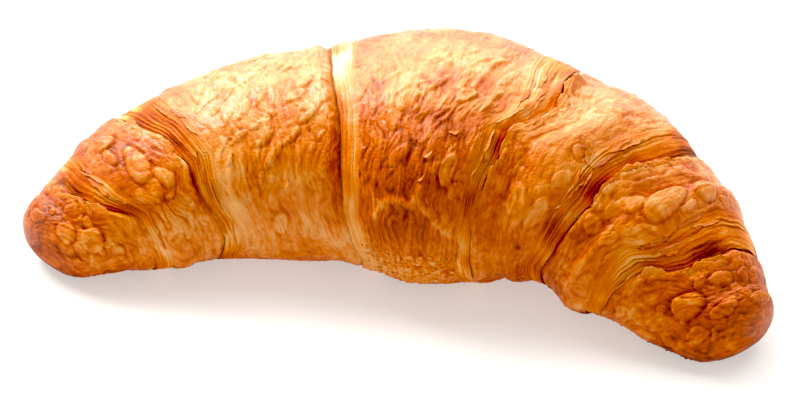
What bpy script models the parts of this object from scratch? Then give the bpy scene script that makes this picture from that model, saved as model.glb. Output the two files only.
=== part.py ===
"""A butter croissant, baked golden brown: layered dough rolled up from a triangle and bent.

The roll shows seven segments, because each turn of the dough is wider than the turn wound over
it. The middle one lies outermost, and each segment's cut edge lies on the next segment towards
the horn.

A place on the roll is given by how far along its spine it is, from the middle and positive to the
right, and by an angle round it in degrees: 0 at the back, 90 on top, 180 at the front and 270
underneath. A lift is how far a point stands out of the plain roll. The croissant rests on Z = 0,
and the middle of its length and depth is the origin.
"""

import math
from functools import partial
from typing import NamedTuple

import bmesh
import bpy
import numpy as np
from mathutils import Matrix, Vector
from mathutils.geometry import interpolate_bezier

MM = 0.001

# The plain roll's section is a soft oval that is cut flat underneath.
WIDEST_LEVEL = 0.47  # the widest level's height, as a share of the roll's height
UNDER_REACH = 1.04  # its reach below the widest level but for the cut, as a share of that level
SQUARENESS = 2.2  # 2 would be an ellipse
HORN_FORWARD = 35.3 * MM  # how far the horns' tips lie in front of the middle
TIP_ROUNDING = 7.5 * MM  # length over which a horn closes to its tip

# The plain roll at places along the spine, from the left horn to the right one: the place, half
# the roll's width, and its height.
SECTIONS = (
    (-86 * MM, 12.3 * MM, 18.0 * MM),
    (-72 * MM, 18.8 * MM, 29.0 * MM),
    (-55 * MM, 22.2 * MM, 36.6 * MM),
    (-38 * MM, 23.8 * MM, 41.8 * MM),
    (-18 * MM, 27.4 * MM, 45.6 * MM),
    (6 * MM, 32.0 * MM, 49.0 * MM),
    (24 * MM, 29.2 * MM, 49.0 * MM),
    (40 * MM, 25.6 * MM, 46.0 * MM),
    (57 * MM, 24.0 * MM, 39.6 * MM),
    (74 * MM, 18.4 * MM, 27.8 * MM),
    (87 * MM, 11.5 * MM, 18.0 * MM),
)

# How finely the solid is faceted.
AROUND = 34
SPINE_STEPS = 160
LAYERS = 3  # layers of dough that are modelled in each cut edge
EVEN_SHARES = [ring / 6 for ring in range(1, 6)]  # rings across a shoulder's or an arm's dome
CENTRE_SHARES = [ring / 10 for ring in range(1, 10)]
HORN_SHARES = [math.sin(math.pi / 2 * ring / 8) for ring in range(1, 8)]  # closer together towards the tip

# Under the roll each cut edge runs back, from its place at the front to its place at the back.
UNDER_FROM, UNDER_TO = 250, 330

# The angles between which a segment's front foot, just above the underside, stands out.
FOOT_FROM, FOOT_FULL, FOOT_FADES, FOOT_TO = 150, 205, 245, 300
FOOT_EASE = 0.5  # share of a cut edge's fall that is lost at the foot

# Over the back the seams are shallower, up to where they come over the top.
BACK_TO, TOP_FROM = 50, 110
BACK_EASE = 0.6

# Where a segment hides below its neighbour or plunges to the spine, as a share of the half width.
HIDDEN_LIFT = -0.42
DEEPEST_LIFT = -0.8  # the nearest that anything comes to the spine, as such a share too
LIP_REACH = 3 * MM  # from a cut edge to where the dome of the segment under it starts
LIP_TURN = 0.3  # at this share of its reach the lip has risen by all but this share of its depth
TUCK = 8 * MM  # how far a segment reaches under its neighbour
EDGE_FOOT = 1.6 * MM  # how far the foot of a cut edge lies back from the edge
FOOT_GROOVES = 3  # and how deep at least, in depths of the groove
EDGE_CURVE = 1.5  # above 1, a cut edge falls slowly at first
RIDGE = 0.3 * MM  # how far a layer stands out of its cut edge

BLISTER_HEIGHT = 0.55 * MM
BLISTER_SINK = 0.5 * MM
BLISTER_ROUNDS = 2

TRAY = 0.4  # side of the block that cuts the underside flat


class Arm(NamedTuple):
    """Half of the spine, seen from above: it leaves the middle straight and turns forwards to its tip."""

    side: int
    reach: float  # sideways, from the middle to the tip
    turn: float  # how far the tip has turned forwards, in degrees
    middle_hold: float  # how far the middle's direction carries on
    tip_hold: float  # how far back from the tip its direction starts


class Seam(NamedTuple):
    """A cut edge, where one segment lies on the next one out, as distances from the middle of the roll."""

    at_back: float
    at_front: float
    swings_from: float  # the angles between which the edge swings from its back place to its front place
    swings_to: float
    band: float  # width of the cut edge on the back and top
    front_band: float  # and at the front
    fall: float  # how far the cut edge falls to its foot
    groove: float  # how far the groove lies under that foot


class Segment(NamedTuple):
    """One visible turn of the dough on an arm, between two seams, or from a seam to the tip."""

    side: int
    inner: Seam
    outer: Seam | None
    crown: float  # how far the middle of its dome stands out
    foot: float  # how far its front foot stands out further, or in where it is below 0
    stagger: float  # how far its facets are turned from the middle segment's, in facets


class Blister(NamedTuple):
    """A long low bubble of the outer skin."""

    along: float
    angle: float
    length: float
    width: float
    tilt: float  # how far its length leans from round the roll towards the right horn, in degrees


LEFT_ARM = Arm(-1, 82.7 * MM, 57, 29 * MM, 20 * MM)
RIGHT_ARM = Arm(1, 83.2 * MM, 50, 31 * MM, 34 * MM)

LEFT_INNER = Seam(19.5 * MM, 13 * MM, 75, 230, 6 * MM, 4 * MM, 2.6 * MM, 1.0 * MM)
LEFT_MIDDLE = Seam(68 * MM, 52 * MM, 30, 175, 8 * MM, 5.5 * MM, 2.6 * MM, 1.0 * MM)
LEFT_OUTER = Seam(82.5 * MM, 66.5 * MM, 65, 215, 5 * MM, 4.5 * MM, 2.2 * MM, 0.8 * MM)
RIGHT_INNER = Seam(33.8 * MM, 23.2 * MM, 85, 160, 9 * MM, 4 * MM, 3.4 * MM, 1.2 * MM)
RIGHT_MIDDLE = Seam(61.2 * MM, 43 * MM, 55, 230, 7 * MM, 5 * MM, 2.4 * MM, 1.0 * MM)
RIGHT_OUTER = Seam(79.8 * MM, 62 * MM, 75, 240, 5.5 * MM, 4.5 * MM, 2.0 * MM, 0.8 * MM)

CENTRE_CROWN = 1.3 * MM
CENTRE_FOOT = 1.2 * MM
SEGMENTS = {
    "left_shoulder": Segment(-1, LEFT_INNER, LEFT_MIDDLE, 1.0 * MM, 0, 0.5),
    "left_arm": Segment(-1, LEFT_MIDDLE, LEFT_OUTER, 0.6 * MM, 0.6 * MM, 0),
    "left_horn": Segment(-1, LEFT_OUTER, None, 0.6 * MM, -0.2 * MM, 0.5),
    "right_shoulder": Segment(1, RIGHT_INNER, RIGHT_MIDDLE, 1.2 * MM, -1.5 * MM, 0.5),
    "right_arm": Segment(1, RIGHT_MIDDLE, RIGHT_OUTER, 1.0 * MM, 0.3 * MM, 0),
    "right_horn": Segment(1, RIGHT_OUTER, None, 0.6 * MM, 0.8 * MM, 0.5),
}

BLISTERS = (
    Blister(-90.4 * MM, 78, 6.2 * MM, 2.8 * MM, -2),
    Blister(-88.6 * MM, 133, 5.6 * MM, 4.4 * MM, 8),
    Blister(-83.6 * MM, 153, 6.4 * MM, 6.0 * MM, 48),
    Blister(-84.9 * MM, 114, 5.4 * MM, 2.7 * MM, 28),
    Blister(-72.9 * MM, 84, 5.4 * MM, 4.6 * MM, 52),
    Blister(-73.1 * MM, 101, 6.4 * MM, 2.4 * MM, 21),
    Blister(-67.9 * MM, 117, 11.8 * MM, 5.2 * MM, 12),
    Blister(-62.1 * MM, 134, 5.4 * MM, 3.8 * MM, 14),
    Blister(-39 * MM, 87, 5.7 * MM, 4.0 * MM, -70),
    Blister(-32.8 * MM, 181, 6.6 * MM, 3.4 * MM, -11),
    Blister(1.8 * MM, 116, 8.8 * MM, 4.8 * MM, -22),
    Blister(16.9 * MM, 145, 7.3 * MM, 3.8 * MM, -19),
    Blister(16.5 * MM, 110, 5.2 * MM, 4.8 * MM, -80),
    Blister(36.9 * MM, 154, 7.0 * MM, 4.3 * MM, -4),
    Blister(42.8 * MM, 156, 10 * MM, 4.1 * MM, -10),
    Blister(48.3 * MM, 115, 5.7 * MM, 3.6 * MM, -40),
    Blister(62.8 * MM, 123, 7.2 * MM, 4.2 * MM, -21),
    Blister(67.6 * MM, 106, 11 * MM, 5.5 * MM, -1),
    Blister(68.8 * MM, 64, 6.9 * MM, 4.8 * MM, -32),
    Blister(71.0 * MM, 87, 4.9 * MM, 2.5 * MM, -3),
    Blister(84.9 * MM, 142, 7.9 * MM, 5.4 * MM, -22),
    Blister(85.0 * MM, 97, 5.6 * MM, 3.5 * MM, -20),
    Blister(90.2 * MM, 116, 7.4 * MM, 3.4 * MM, -10),
    Blister(90.4 * MM, 57, 7.4 * MM, 2.7 * MM, 12),
)

CRUST_COLOUR = (0.55, 0.2, 0.045, 1)  # golden brown, linear
CRUST_ROUGHNESS = 0.38


def smooth_step(low, high, value):
    """0 below low, 1 above high, and a smooth rise between them."""
    share = np.clip((value - low) / (high - low), 0, 1)
    return share * share * (3 - 2 * share)


def arm_points(arm):
    """Points of one half of the spine, from the middle to the tip."""
    turn = math.radians(arm.turn)
    tip = Vector((arm.side * arm.reach, -HORN_FORWARD, 0))
    leave = Vector((arm.side * arm.middle_hold, 0, 0))
    arrive = tip - arm.tip_hold * Vector((arm.side * math.cos(turn), -math.sin(turn), 0))
    return np.array(interpolate_bezier((0, 0, 0), leave, arrive, tip, SPINE_STEPS))[:, :2]


class Spine:
    """The bent line that the dough is rolled round."""

    def __init__(self):
        left, right = arm_points(LEFT_ARM), arm_points(RIGHT_ARM)
        self.points = np.concatenate([left[::-1], right[1:]])
        lengths = np.hypot(*np.diff(self.points, axis=0).T)
        self.along = np.concatenate([[0], np.cumsum(lengths)])
        self.along -= self.along[len(left) - 1]
        course = np.gradient(self.points, self.along, axis=0)
        self.heading = np.arctan2(course[:, 1], course[:, 0])

    def at(self, along):
        """Points of the spine seen from above, and the directions from them to the back of the roll."""
        points = np.stack([np.interp(along, self.along, self.points[:, axis]) for axis in (0, 1)], -1)
        heading = np.interp(along, self.along, self.heading)
        return points, np.stack([-np.sin(heading), np.cos(heading)], -1)

    def tip_left(self, along):
        """How much of the roll's thickness is left as it closes to a horn's tip, from 1 to 0."""
        to_tip = np.minimum(along - self.along[0], self.along[-1] - along)
        closed = np.clip(1 - to_tip / TIP_ROUNDING, 0, 1)
        return np.sqrt(1 - closed**2)


SPINE = Spine()


def section(along):
    """Half the plain roll's width and its height, as smooth curves through SECTIONS."""
    table = np.array(SECTIONS)
    places, values = table[:, 0], table[:, 1:]
    slopes = np.gradient(values, places, axis=0)
    index = np.clip(np.searchsorted(places, along) - 1, 0, len(places) - 2)
    gap = (places[index + 1] - places[index])[..., None]
    share = np.clip((np.asarray(along) - places[index])[..., None] / gap, 0, 1)
    rise = share**2 * (3 - 2 * share)
    bend = gap * share * (1 - share) * ((1 - share) * slopes[index] - share * slopes[index + 1])
    width_and_height = values[index] * (1 - rise) + values[index + 1] * rise + bend
    return width_and_height[..., 0], width_and_height[..., 1]


def foot_share(angle):
    """How much of the front foot's form an angle has, from 0 to 1."""
    return smooth_step(FOOT_FROM, FOOT_FULL, angle) * (1 - smooth_step(FOOT_FADES, FOOT_TO, angle))


def on_roll(along, angle, lift):
    """Points at places along the roll and angles round it, in degrees, lifted out of the plain roll."""
    width, height = section(along)
    level = WIDEST_LEVEL * height
    lift = np.maximum(lift, DEEPEST_LIFT * width)
    cosine, sine = np.cos(np.radians(angle)), np.sin(np.radians(angle))
    oval = (np.abs(cosine) ** SQUARENESS + np.abs(sine) ** SQUARENESS) ** (-1 / SQUARENESS)
    tall = np.where(sine >= 0, height - level, UNDER_REACH * level)
    left = SPINE.tip_left(along)
    points, backwards = SPINE.at(along)
    out = (width + lift) * left * oval * cosine
    up = level + (tall + lift) * left * oval * sine
    return np.concatenate([points + backwards * out[..., None], up[..., None]], -1)


def spine_point(along):
    """The point of the spine itself, at the roll's widest level."""
    (x, y), _ = SPINE.at(along)
    return x, y, WIDEST_LEVEL * section(along)[1]


def in_front(angle_from, angle_to, angle):
    """1 at the front and 0 at the back, with a rise between two angles and a fall under the roll."""
    return smooth_step(angle_from, angle_to, angle) * (1 - smooth_step(UNDER_FROM, UNDER_TO, angle))


def seam_places(seam, angle):
    """How far from the middle the seam crosses the given angles, and how wide its band is there."""
    front = in_front(seam.swings_from, seam.swings_to, angle)
    place = seam.at_back + (seam.at_front - seam.at_back) * front
    return place, seam.band + (seam.front_band - seam.band) * front


def seam_fall(seam, angle):
    """How far the cut edge falls at the given angles."""
    front = in_front(BACK_TO, TOP_FROM, angle)
    return seam.fall * (1 - BACK_EASE * (1 - front)) * (1 - FOOT_EASE * foot_share(angle))


def lip_rings(seam, angle):
    """Rings (away from the middle, lift) from under the neighbour to where the dome starts."""
    place, _ = seam_places(seam, angle)
    hidden = HIDDEN_LIFT * section(place)[0]
    depth = seam_fall(seam, angle) + RIDGE + seam.groove
    return [
        (place - TUCK, hidden),
        (place - TUCK / 2, (hidden - depth) / 2),
        (place, -depth),
        (place + LIP_TURN * LIP_REACH, -LIP_TURN * depth),
        (place + LIP_REACH, np.zeros_like(place)),
    ]


def edge_rings(seam, angle):
    """Rings (away from the middle, lift) down the cut edge's layers, and in under it."""
    place, band = seam_places(seam, angle)
    fall = seam_fall(seam, angle)
    rings = [(place - band, np.zeros_like(place))]
    steps = 2 * LAYERS
    for step in range(1, steps):
        share = step / steps
        ridge = RIDGE if step % 2 == 0 else -RIDGE
        rings.append((place - band * (1 - share), ridge - fall * share**EDGE_CURVE))
    rings.append((place, -fall - RIDGE))
    hidden = np.minimum(HIDDEN_LIFT * section(place)[0], -fall - FOOT_GROOVES * seam.groove)
    rings.append((place - EDGE_FOOT / 2, (hidden - fall) / 2))
    rings.append((place - EDGE_FOOT, hidden))
    return rings


def dome_rings(start, end, crown, shares):
    """Rings (away from the middle, lift) over a dome between two rings, at shares of the way."""
    rings = []
    for share in shares:
        lift = crown * 4 * share * (1 - share)  # the full crown halfway
        rings.append((start + (end - start) * share, np.full_like(start, lift)))
    return rings


def with_foot(rings, foot, angle):
    """The rings with the front foot standing out."""
    return [(along, lift + foot * foot_share(angle)) for along, lift in rings]


def segment_rings(segment, angle):
    """A segment's rings (along the spine, lift), from its hidden end outwards, and its two poles."""
    lip = lip_rings(segment.inner, angle)
    start = lip[-1][0]
    if segment.outer:
        edge = edge_rings(segment.outer, angle)
        rings = lip + dome_rings(start, edge[0][0], segment.crown, EVEN_SHARES) + edge
        last = np.mean(edge[-1][0])
    else:
        last = abs(SPINE.along[0 if segment.side < 0 else -1])
        rings = lip + dome_rings(start, last, segment.crown, HORN_SHARES)
    poles = (segment.side * np.mean(rings[0][0]), segment.side * last)
    rings = with_foot(rings, segment.foot, angle)
    return [(segment.side * away, lift) for away, lift in rings], poles


def centre_rings(angle):
    """The middle segment's rings (along the spine, lift), from left to right, and its two poles."""
    left = [(-away, lift) for away, lift in reversed(edge_rings(LEFT_INNER, angle))]
    right = edge_rings(RIGHT_INNER, angle)
    dome = dome_rings(left[-1][0], right[0][0], CENTRE_CROWN, CENTRE_SHARES)
    poles = (np.mean(left[0][0]), np.mean(right[-1][0]))
    return with_foot(left + dome + right, CENTRE_FOOT, angle), poles


def crust_lift(along, angle):
    """How far the crust stands out of the plain roll at a place, with the dome that it lies on."""
    angles = np.array([angle])
    lift = -math.inf
    outer = [partial(segment_rings, segment) for segment in SEGMENTS.values()]
    for rings_of in [centre_rings] + outer:
        rings, _ = rings_of(angles)
        places, lifts = np.array(rings)[:, :, 0].T
        order = np.argsort(places)
        here = np.interp(along, places[order], lifts[order], left=-math.inf, right=-math.inf)
        lift = max(lift, here)
    return lift


def add_object(name, shape, collection):
    """Puts a shape into a collection as an object."""
    mesh = bpy.data.meshes.new(name)
    shape.to_mesh(mesh)
    shape.free()
    thing = bpy.data.objects.new(name, mesh)
    collection.objects.link(thing)
    return thing


def ringed_solid(name, rings_of, stagger, collection):
    """A sphere whose rings are moved onto the roll, and its poles to the spine or to a horn's tip."""
    angle = (np.arange(AROUND) + stagger) * 360 / AROUND
    rings, poles = rings_of(angle)
    places = np.stack([on_roll(along, angle, lift) for along, lift in rings])
    rows = len(rings) + 1
    at_poles = {0: spine_point(poles[0]), rows: spine_point(poles[1])}
    shape = bmesh.new()
    bmesh.ops.create_uvsphere(shape, u_segments=AROUND, v_segments=rows, radius=1)
    for vert in shape.verts:
        row = round(math.acos(max(-1, min(1, vert.co.z))) / math.pi * rows)
        if row in at_poles:
            vert.co = at_poles[row]
        else:
            column = round(math.atan2(vert.co.y, vert.co.x) / math.tau * AROUND) % AROUND
            vert.co = places[row - 1, column]
    bmesh.ops.triangulate(shape, faces=shape.faces)  # a union needs flat faces
    bmesh.ops.recalc_face_normals(shape, faces=shape.faces)
    return add_object(name, shape, collection)


def blister_solid(name, blister, collection):
    """A flattened ball that lies in the crust and stands a little out of it."""
    nudge, turn = 0.5 * MM, 1.0  # small steps along and round the roll
    around = blister.along + np.array([0, nudge, -nudge, 0, 0])
    angles = blister.angle + np.array([0, 0, 0, turn, -turn])
    lift = crust_lift(blister.along, blister.angle)
    spot, right, left, onward, backward = on_roll(around, angles, np.full(5, lift))
    rightwards = Vector(right - left).normalized()
    out = rightwards.cross(Vector(onward - backward)).normalized() * -1
    round_roll = rightwards.cross(out)
    lean = math.radians(blister.tilt)
    length_way = (math.cos(lean) * round_roll + math.sin(lean) * rightwards).normalized()
    frame = Matrix((length_way, out.cross(length_way), out)).transposed().to_4x4()
    high = BLISTER_HEIGHT + BLISTER_SINK
    size = Matrix.Diagonal((blister.length / 2, blister.width / 2, high, 1))
    place = Matrix.Translation(Vector(spot) - BLISTER_SINK * out)
    shape = bmesh.new()
    matrix = place @ frame @ size
    bmesh.ops.create_icosphere(shape, subdivisions=BLISTER_ROUNDS, radius=1, matrix=matrix)
    return add_object(name, shape, collection)


def tray_block(collection):
    """A block whose top is the surface that the croissant rests on."""
    shape = bmesh.new()
    bmesh.ops.create_cube(shape, size=TRAY, matrix=Matrix.Translation((0, 0, -TRAY / 2)))
    return add_object("tray_block", shape, collection)


def apply_boolean(thing, operation, collection):
    """Joins or cuts the object with everything in a collection, and removes what was in it."""
    boolean = thing.modifiers.new(operation, "BOOLEAN")
    boolean.operation = operation
    boolean.operand_type = "COLLECTION"
    boolean.collection = collection
    boolean.solver = "EXACT"
    graph = bpy.context.evaluated_depsgraph_get()
    done = bpy.data.meshes.new_from_object(thing.evaluated_get(graph))
    thing.modifiers.clear()
    thing.data = done
    for used in list(collection.objects):
        bpy.data.objects.remove(used, do_unlink=True)


def keep_largest_body(mesh):
    """Drops the scraps and sealed pinholes that the union leaves where two surfaces graze each other."""
    shape = bmesh.new()
    shape.from_mesh(mesh)
    unseen = set(shape.faces)
    bodies = []
    while unseen:
        body, waiting = [], [next(iter(unseen))]
        while waiting:
            face = waiting.pop()
            if face in unseen:
                unseen.remove(face)
                body.append(face)
                inner = [edge for edge in face.edges if len(edge.link_faces) == 2]
                waiting += [near for edge in inner for near in edge.link_faces]
        bodies.append(body)
    bodies.sort(key=len)
    scraps = [face for body in bodies[:-1] for face in body]
    bmesh.ops.delete(shape, geom=scraps, context="FACES")
    shape.to_mesh(mesh)
    shape.free()


def crust_material():
    """Baked crust with its egg wash."""
    crust = bpy.data.materials.new("crust")
    crust.use_nodes = True
    shader = crust.node_tree.nodes["Principled BSDF"]
    shader.inputs["Base Color"].default_value = CRUST_COLOUR
    shader.inputs["Roughness"].default_value = CRUST_ROUGHNESS
    shader.inputs["Metallic"].default_value = 0
    crust.diffuse_color = CRUST_COLOUR
    return crust


def new_collection(name):
    """A collection in the scene."""
    collection = bpy.data.collections.new(name)
    bpy.context.scene.collection.children.link(collection)
    return collection


def clear_scene():
    """Removes every object that the scene starts with."""
    for thing in list(bpy.data.objects):
        bpy.data.objects.remove(thing, do_unlink=True)


def centre_on_origin(thing):
    """Moves the mesh so that the middle of its length and of its depth lies at the origin."""
    corners = np.array([vert.co for vert in thing.data.vertices])
    middle = (corners.min(axis=0) + corners.max(axis=0)) / 2
    thing.data.transform(Matrix.Translation((-middle[0], -middle[1], 0)))


def main():
    """Models the croissant as one solid."""
    clear_scene()
    food = new_collection("croissant_parts")
    dough, tray = new_collection("dough"), new_collection("tray")
    croissant = ringed_solid("croissant", centre_rings, 0, food)
    for name, segment in SEGMENTS.items():
        ringed_solid(name, partial(segment_rings, segment), segment.stagger, dough)
    for number, blister in enumerate(BLISTERS):
        blister_solid(f"blister_{number}", blister, dough)
    apply_boolean(croissant, "UNION", dough)
    tray_block(tray)
    apply_boolean(croissant, "DIFFERENCE", tray)
    keep_largest_body(croissant.data)
    centre_on_origin(croissant)
    croissant.data.materials.clear()
    croissant.data.materials.append(crust_material())
    croissant.data.shade_smooth()
    for used in (dough, tray):
        bpy.data.collections.remove(used)


main()
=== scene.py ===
"""A butter croissant, dressed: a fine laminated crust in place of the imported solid, on a pale floor.

Lengths are in millimetres until a mesh is made. A place on the roll is how far along its spine it
is, from the middle and positive to the right, and an angle round it in degrees: 0 at the back, 90
on top, 180 in front and 270 underneath. A lift is how far a point stands out of the plain roll.
"""

from __future__ import annotations

import itertools
import logging
import math
from dataclasses import dataclass, field
from enum import Enum

import bmesh
import bpy
import numpy as np
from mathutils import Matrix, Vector


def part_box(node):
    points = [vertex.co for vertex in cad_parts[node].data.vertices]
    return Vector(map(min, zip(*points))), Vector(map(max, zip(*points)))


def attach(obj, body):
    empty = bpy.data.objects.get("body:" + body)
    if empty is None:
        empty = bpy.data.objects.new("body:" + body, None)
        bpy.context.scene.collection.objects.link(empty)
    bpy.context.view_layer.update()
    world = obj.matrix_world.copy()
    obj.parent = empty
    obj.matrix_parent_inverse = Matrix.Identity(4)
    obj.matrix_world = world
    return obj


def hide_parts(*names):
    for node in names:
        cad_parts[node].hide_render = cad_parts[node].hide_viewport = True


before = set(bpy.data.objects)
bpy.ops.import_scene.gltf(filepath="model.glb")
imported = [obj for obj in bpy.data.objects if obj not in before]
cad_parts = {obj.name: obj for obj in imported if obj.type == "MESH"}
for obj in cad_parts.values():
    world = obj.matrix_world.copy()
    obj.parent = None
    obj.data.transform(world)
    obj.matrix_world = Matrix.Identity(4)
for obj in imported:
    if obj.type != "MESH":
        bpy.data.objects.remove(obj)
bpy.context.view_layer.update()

LOG = logging.getLogger("croissant")
MM = 0.001
NODE = "croissant"
BODY = "root"

Array = np.ndarray
Socket = bpy.types.NodeSocket


def smooth_step(low: float, high: float, value: Array) -> Array:
    """A smooth rise from 0 to 1.

    Args:
        low: Where the rise starts.
        high: Where it ends.
        value: Where it is asked for.

    Returns:
        0 below low, 1 above high, and the rise between them.
    """
    share = np.clip((value - low) / (high - low), 0, 1)
    return share * share * (3 - 2 * share)


def bell(distance: Array, reach: float) -> Array:
    """A soft bump.

    Args:
        distance: How far from its middle it is asked for.
        reach: Where it has sunk to about a third.

    Returns:
        1 at the middle, falling to 0 far off.
    """
    return np.exp(-((distance / reach) ** 2))


def linear_colour(hex_code: str) -> tuple[float, float, float, float]:
    """Turns an sRGB hex code to a linear colour.

    Args:
        hex_code: Six hex digits.

    Returns:
        Linear red, green, blue and alpha.
    """
    parts = [int(hex_code[place : place + 2], 16) / 255 for place in (0, 2, 4)]
    red, green, blue = (
        part / 12.92 if part <= 0.04045 else ((part + 0.055) / 1.055) ** 2.4 for part in parts
    )
    return red, green, blue, 1.0


def add_node(
    tree: bpy.types.NodeTree,
    kind: str,
    feeds: dict[str | int, object] | None = None,
    stops: list[tuple[float, str]] | None = None,
    **settings: object,
) -> bpy.types.Node:
    """Adds a shader node with its settings, inputs and links.

    Args:
        tree: The node tree to add to.
        kind: The node's type.
        feeds: For each input, the socket that feeds it or its value.
        stops: Place and hex colour of each stop, on a node with a colour ramp.
        settings: The node's own settings.

    Returns:
        The new node.
    """
    made = tree.nodes.new(kind)
    for name, value in settings.items():
        setattr(made, name, value)
    for name, value in (feeds or {}).items():
        if isinstance(value, bpy.types.NodeSocket):
            tree.links.new(value, made.inputs[name])
        else:
            made.inputs[name].default_value = value
    if stops:
        elements = made.color_ramp.elements
        while len(elements) < len(stops):
            elements.new(1.0)
        for element, (place, colour) in zip(elements, stops):
            element.position = place
            element.color = linear_colour(colour)
    return made


class Noise:
    """Smooth seeded noise in space, about -1 to 1 and the same for the same seed."""

    SIZE = 256
    GAIN = 1.7  # brings the noise to its full range

    def __init__(self, seed: int) -> None:
        """Draws the lattice.

        Args:
            seed: Picks one of the possible noises.
        """
        random = np.random.default_rng(seed)
        self.order = random.permutation(self.SIZE)
        slopes = random.normal(size=(self.SIZE, 3))
        self.slopes = slopes / np.linalg.norm(slopes, axis=1, keepdims=True)

    def at(self, points: Array, spacing: float | tuple[float, float, float]) -> Array:
        """Reads the noise.

        Args:
            points: Points whose last axis is x, y and z.
            spacing: The lattice's spacing, for all axes or for each.

        Returns:
            The noise at each point.
        """
        places = points / np.asarray(spacing, float)
        cell = np.floor(places).astype(int)
        inside = places - cell
        ease = inside**3 * (inside * (inside * 6 - 15) + 10)
        total = np.zeros(places.shape[:-1])
        for corner in itertools.product((0, 1), repeat=3):
            x, y, z = np.moveaxis((cell + corner) % self.SIZE, -1, 0)
            index = self.order[(self.order[(self.order[x] + y) % self.SIZE] + z) % self.SIZE]
            rise = ((inside - corner) * self.slopes[index]).sum(-1)
            total += np.where(corner, ease, 1 - ease).prod(-1) * rise
        return total * self.GAIN

    def rough(self, points: Array, spacing: float, layers: int) -> Array:
        """Reads several layers of the noise, each half as large and as strong as the one before.

        Args:
            points: Points whose last axis is x, y and z.
            spacing: The first layer's lattice spacing.
            layers: How many layers there are.

        Returns:
            Their sum at each point.
        """
        return sum(self.at(points, spacing / 2**layer) / 2**layer for layer in range(layers))


class Side(Enum):
    """A half of the croissant, as the sign of its places along the spine."""

    LEFT = -1
    RIGHT = 1


@dataclass(frozen=True)
class Arm:
    """Half of the spine, seen from above: it leaves the middle straight and turns forwards."""

    side: Side
    reach: float  # sideways, from the middle to the tip
    turn: float  # how far the tip has turned forwards, in degrees
    middle_hold: float  # how far the middle's direction carries on
    tip_hold: float  # how far back from the tip its direction starts

    def points(self, horn_forward: float, steps: int) -> Array:
        """Points from the middle to the tip.

        Args:
            horn_forward: How far the tip lies in front of the middle.
            steps: How many points there are.

        Returns:
            The points, seen from above.
        """
        side = self.side.value
        turn = math.radians(self.turn)
        tip = np.array([side * self.reach, -horn_forward])
        leave = np.array([side * self.middle_hold, 0])
        arrive = tip - self.tip_hold * np.array([side * math.cos(turn), -math.sin(turn)])
        share = np.linspace(0, 1, steps)[:, None]
        rest = 1 - share
        return 3 * rest**2 * share * leave + 3 * rest * share**2 * arrive + share**3 * tip


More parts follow.
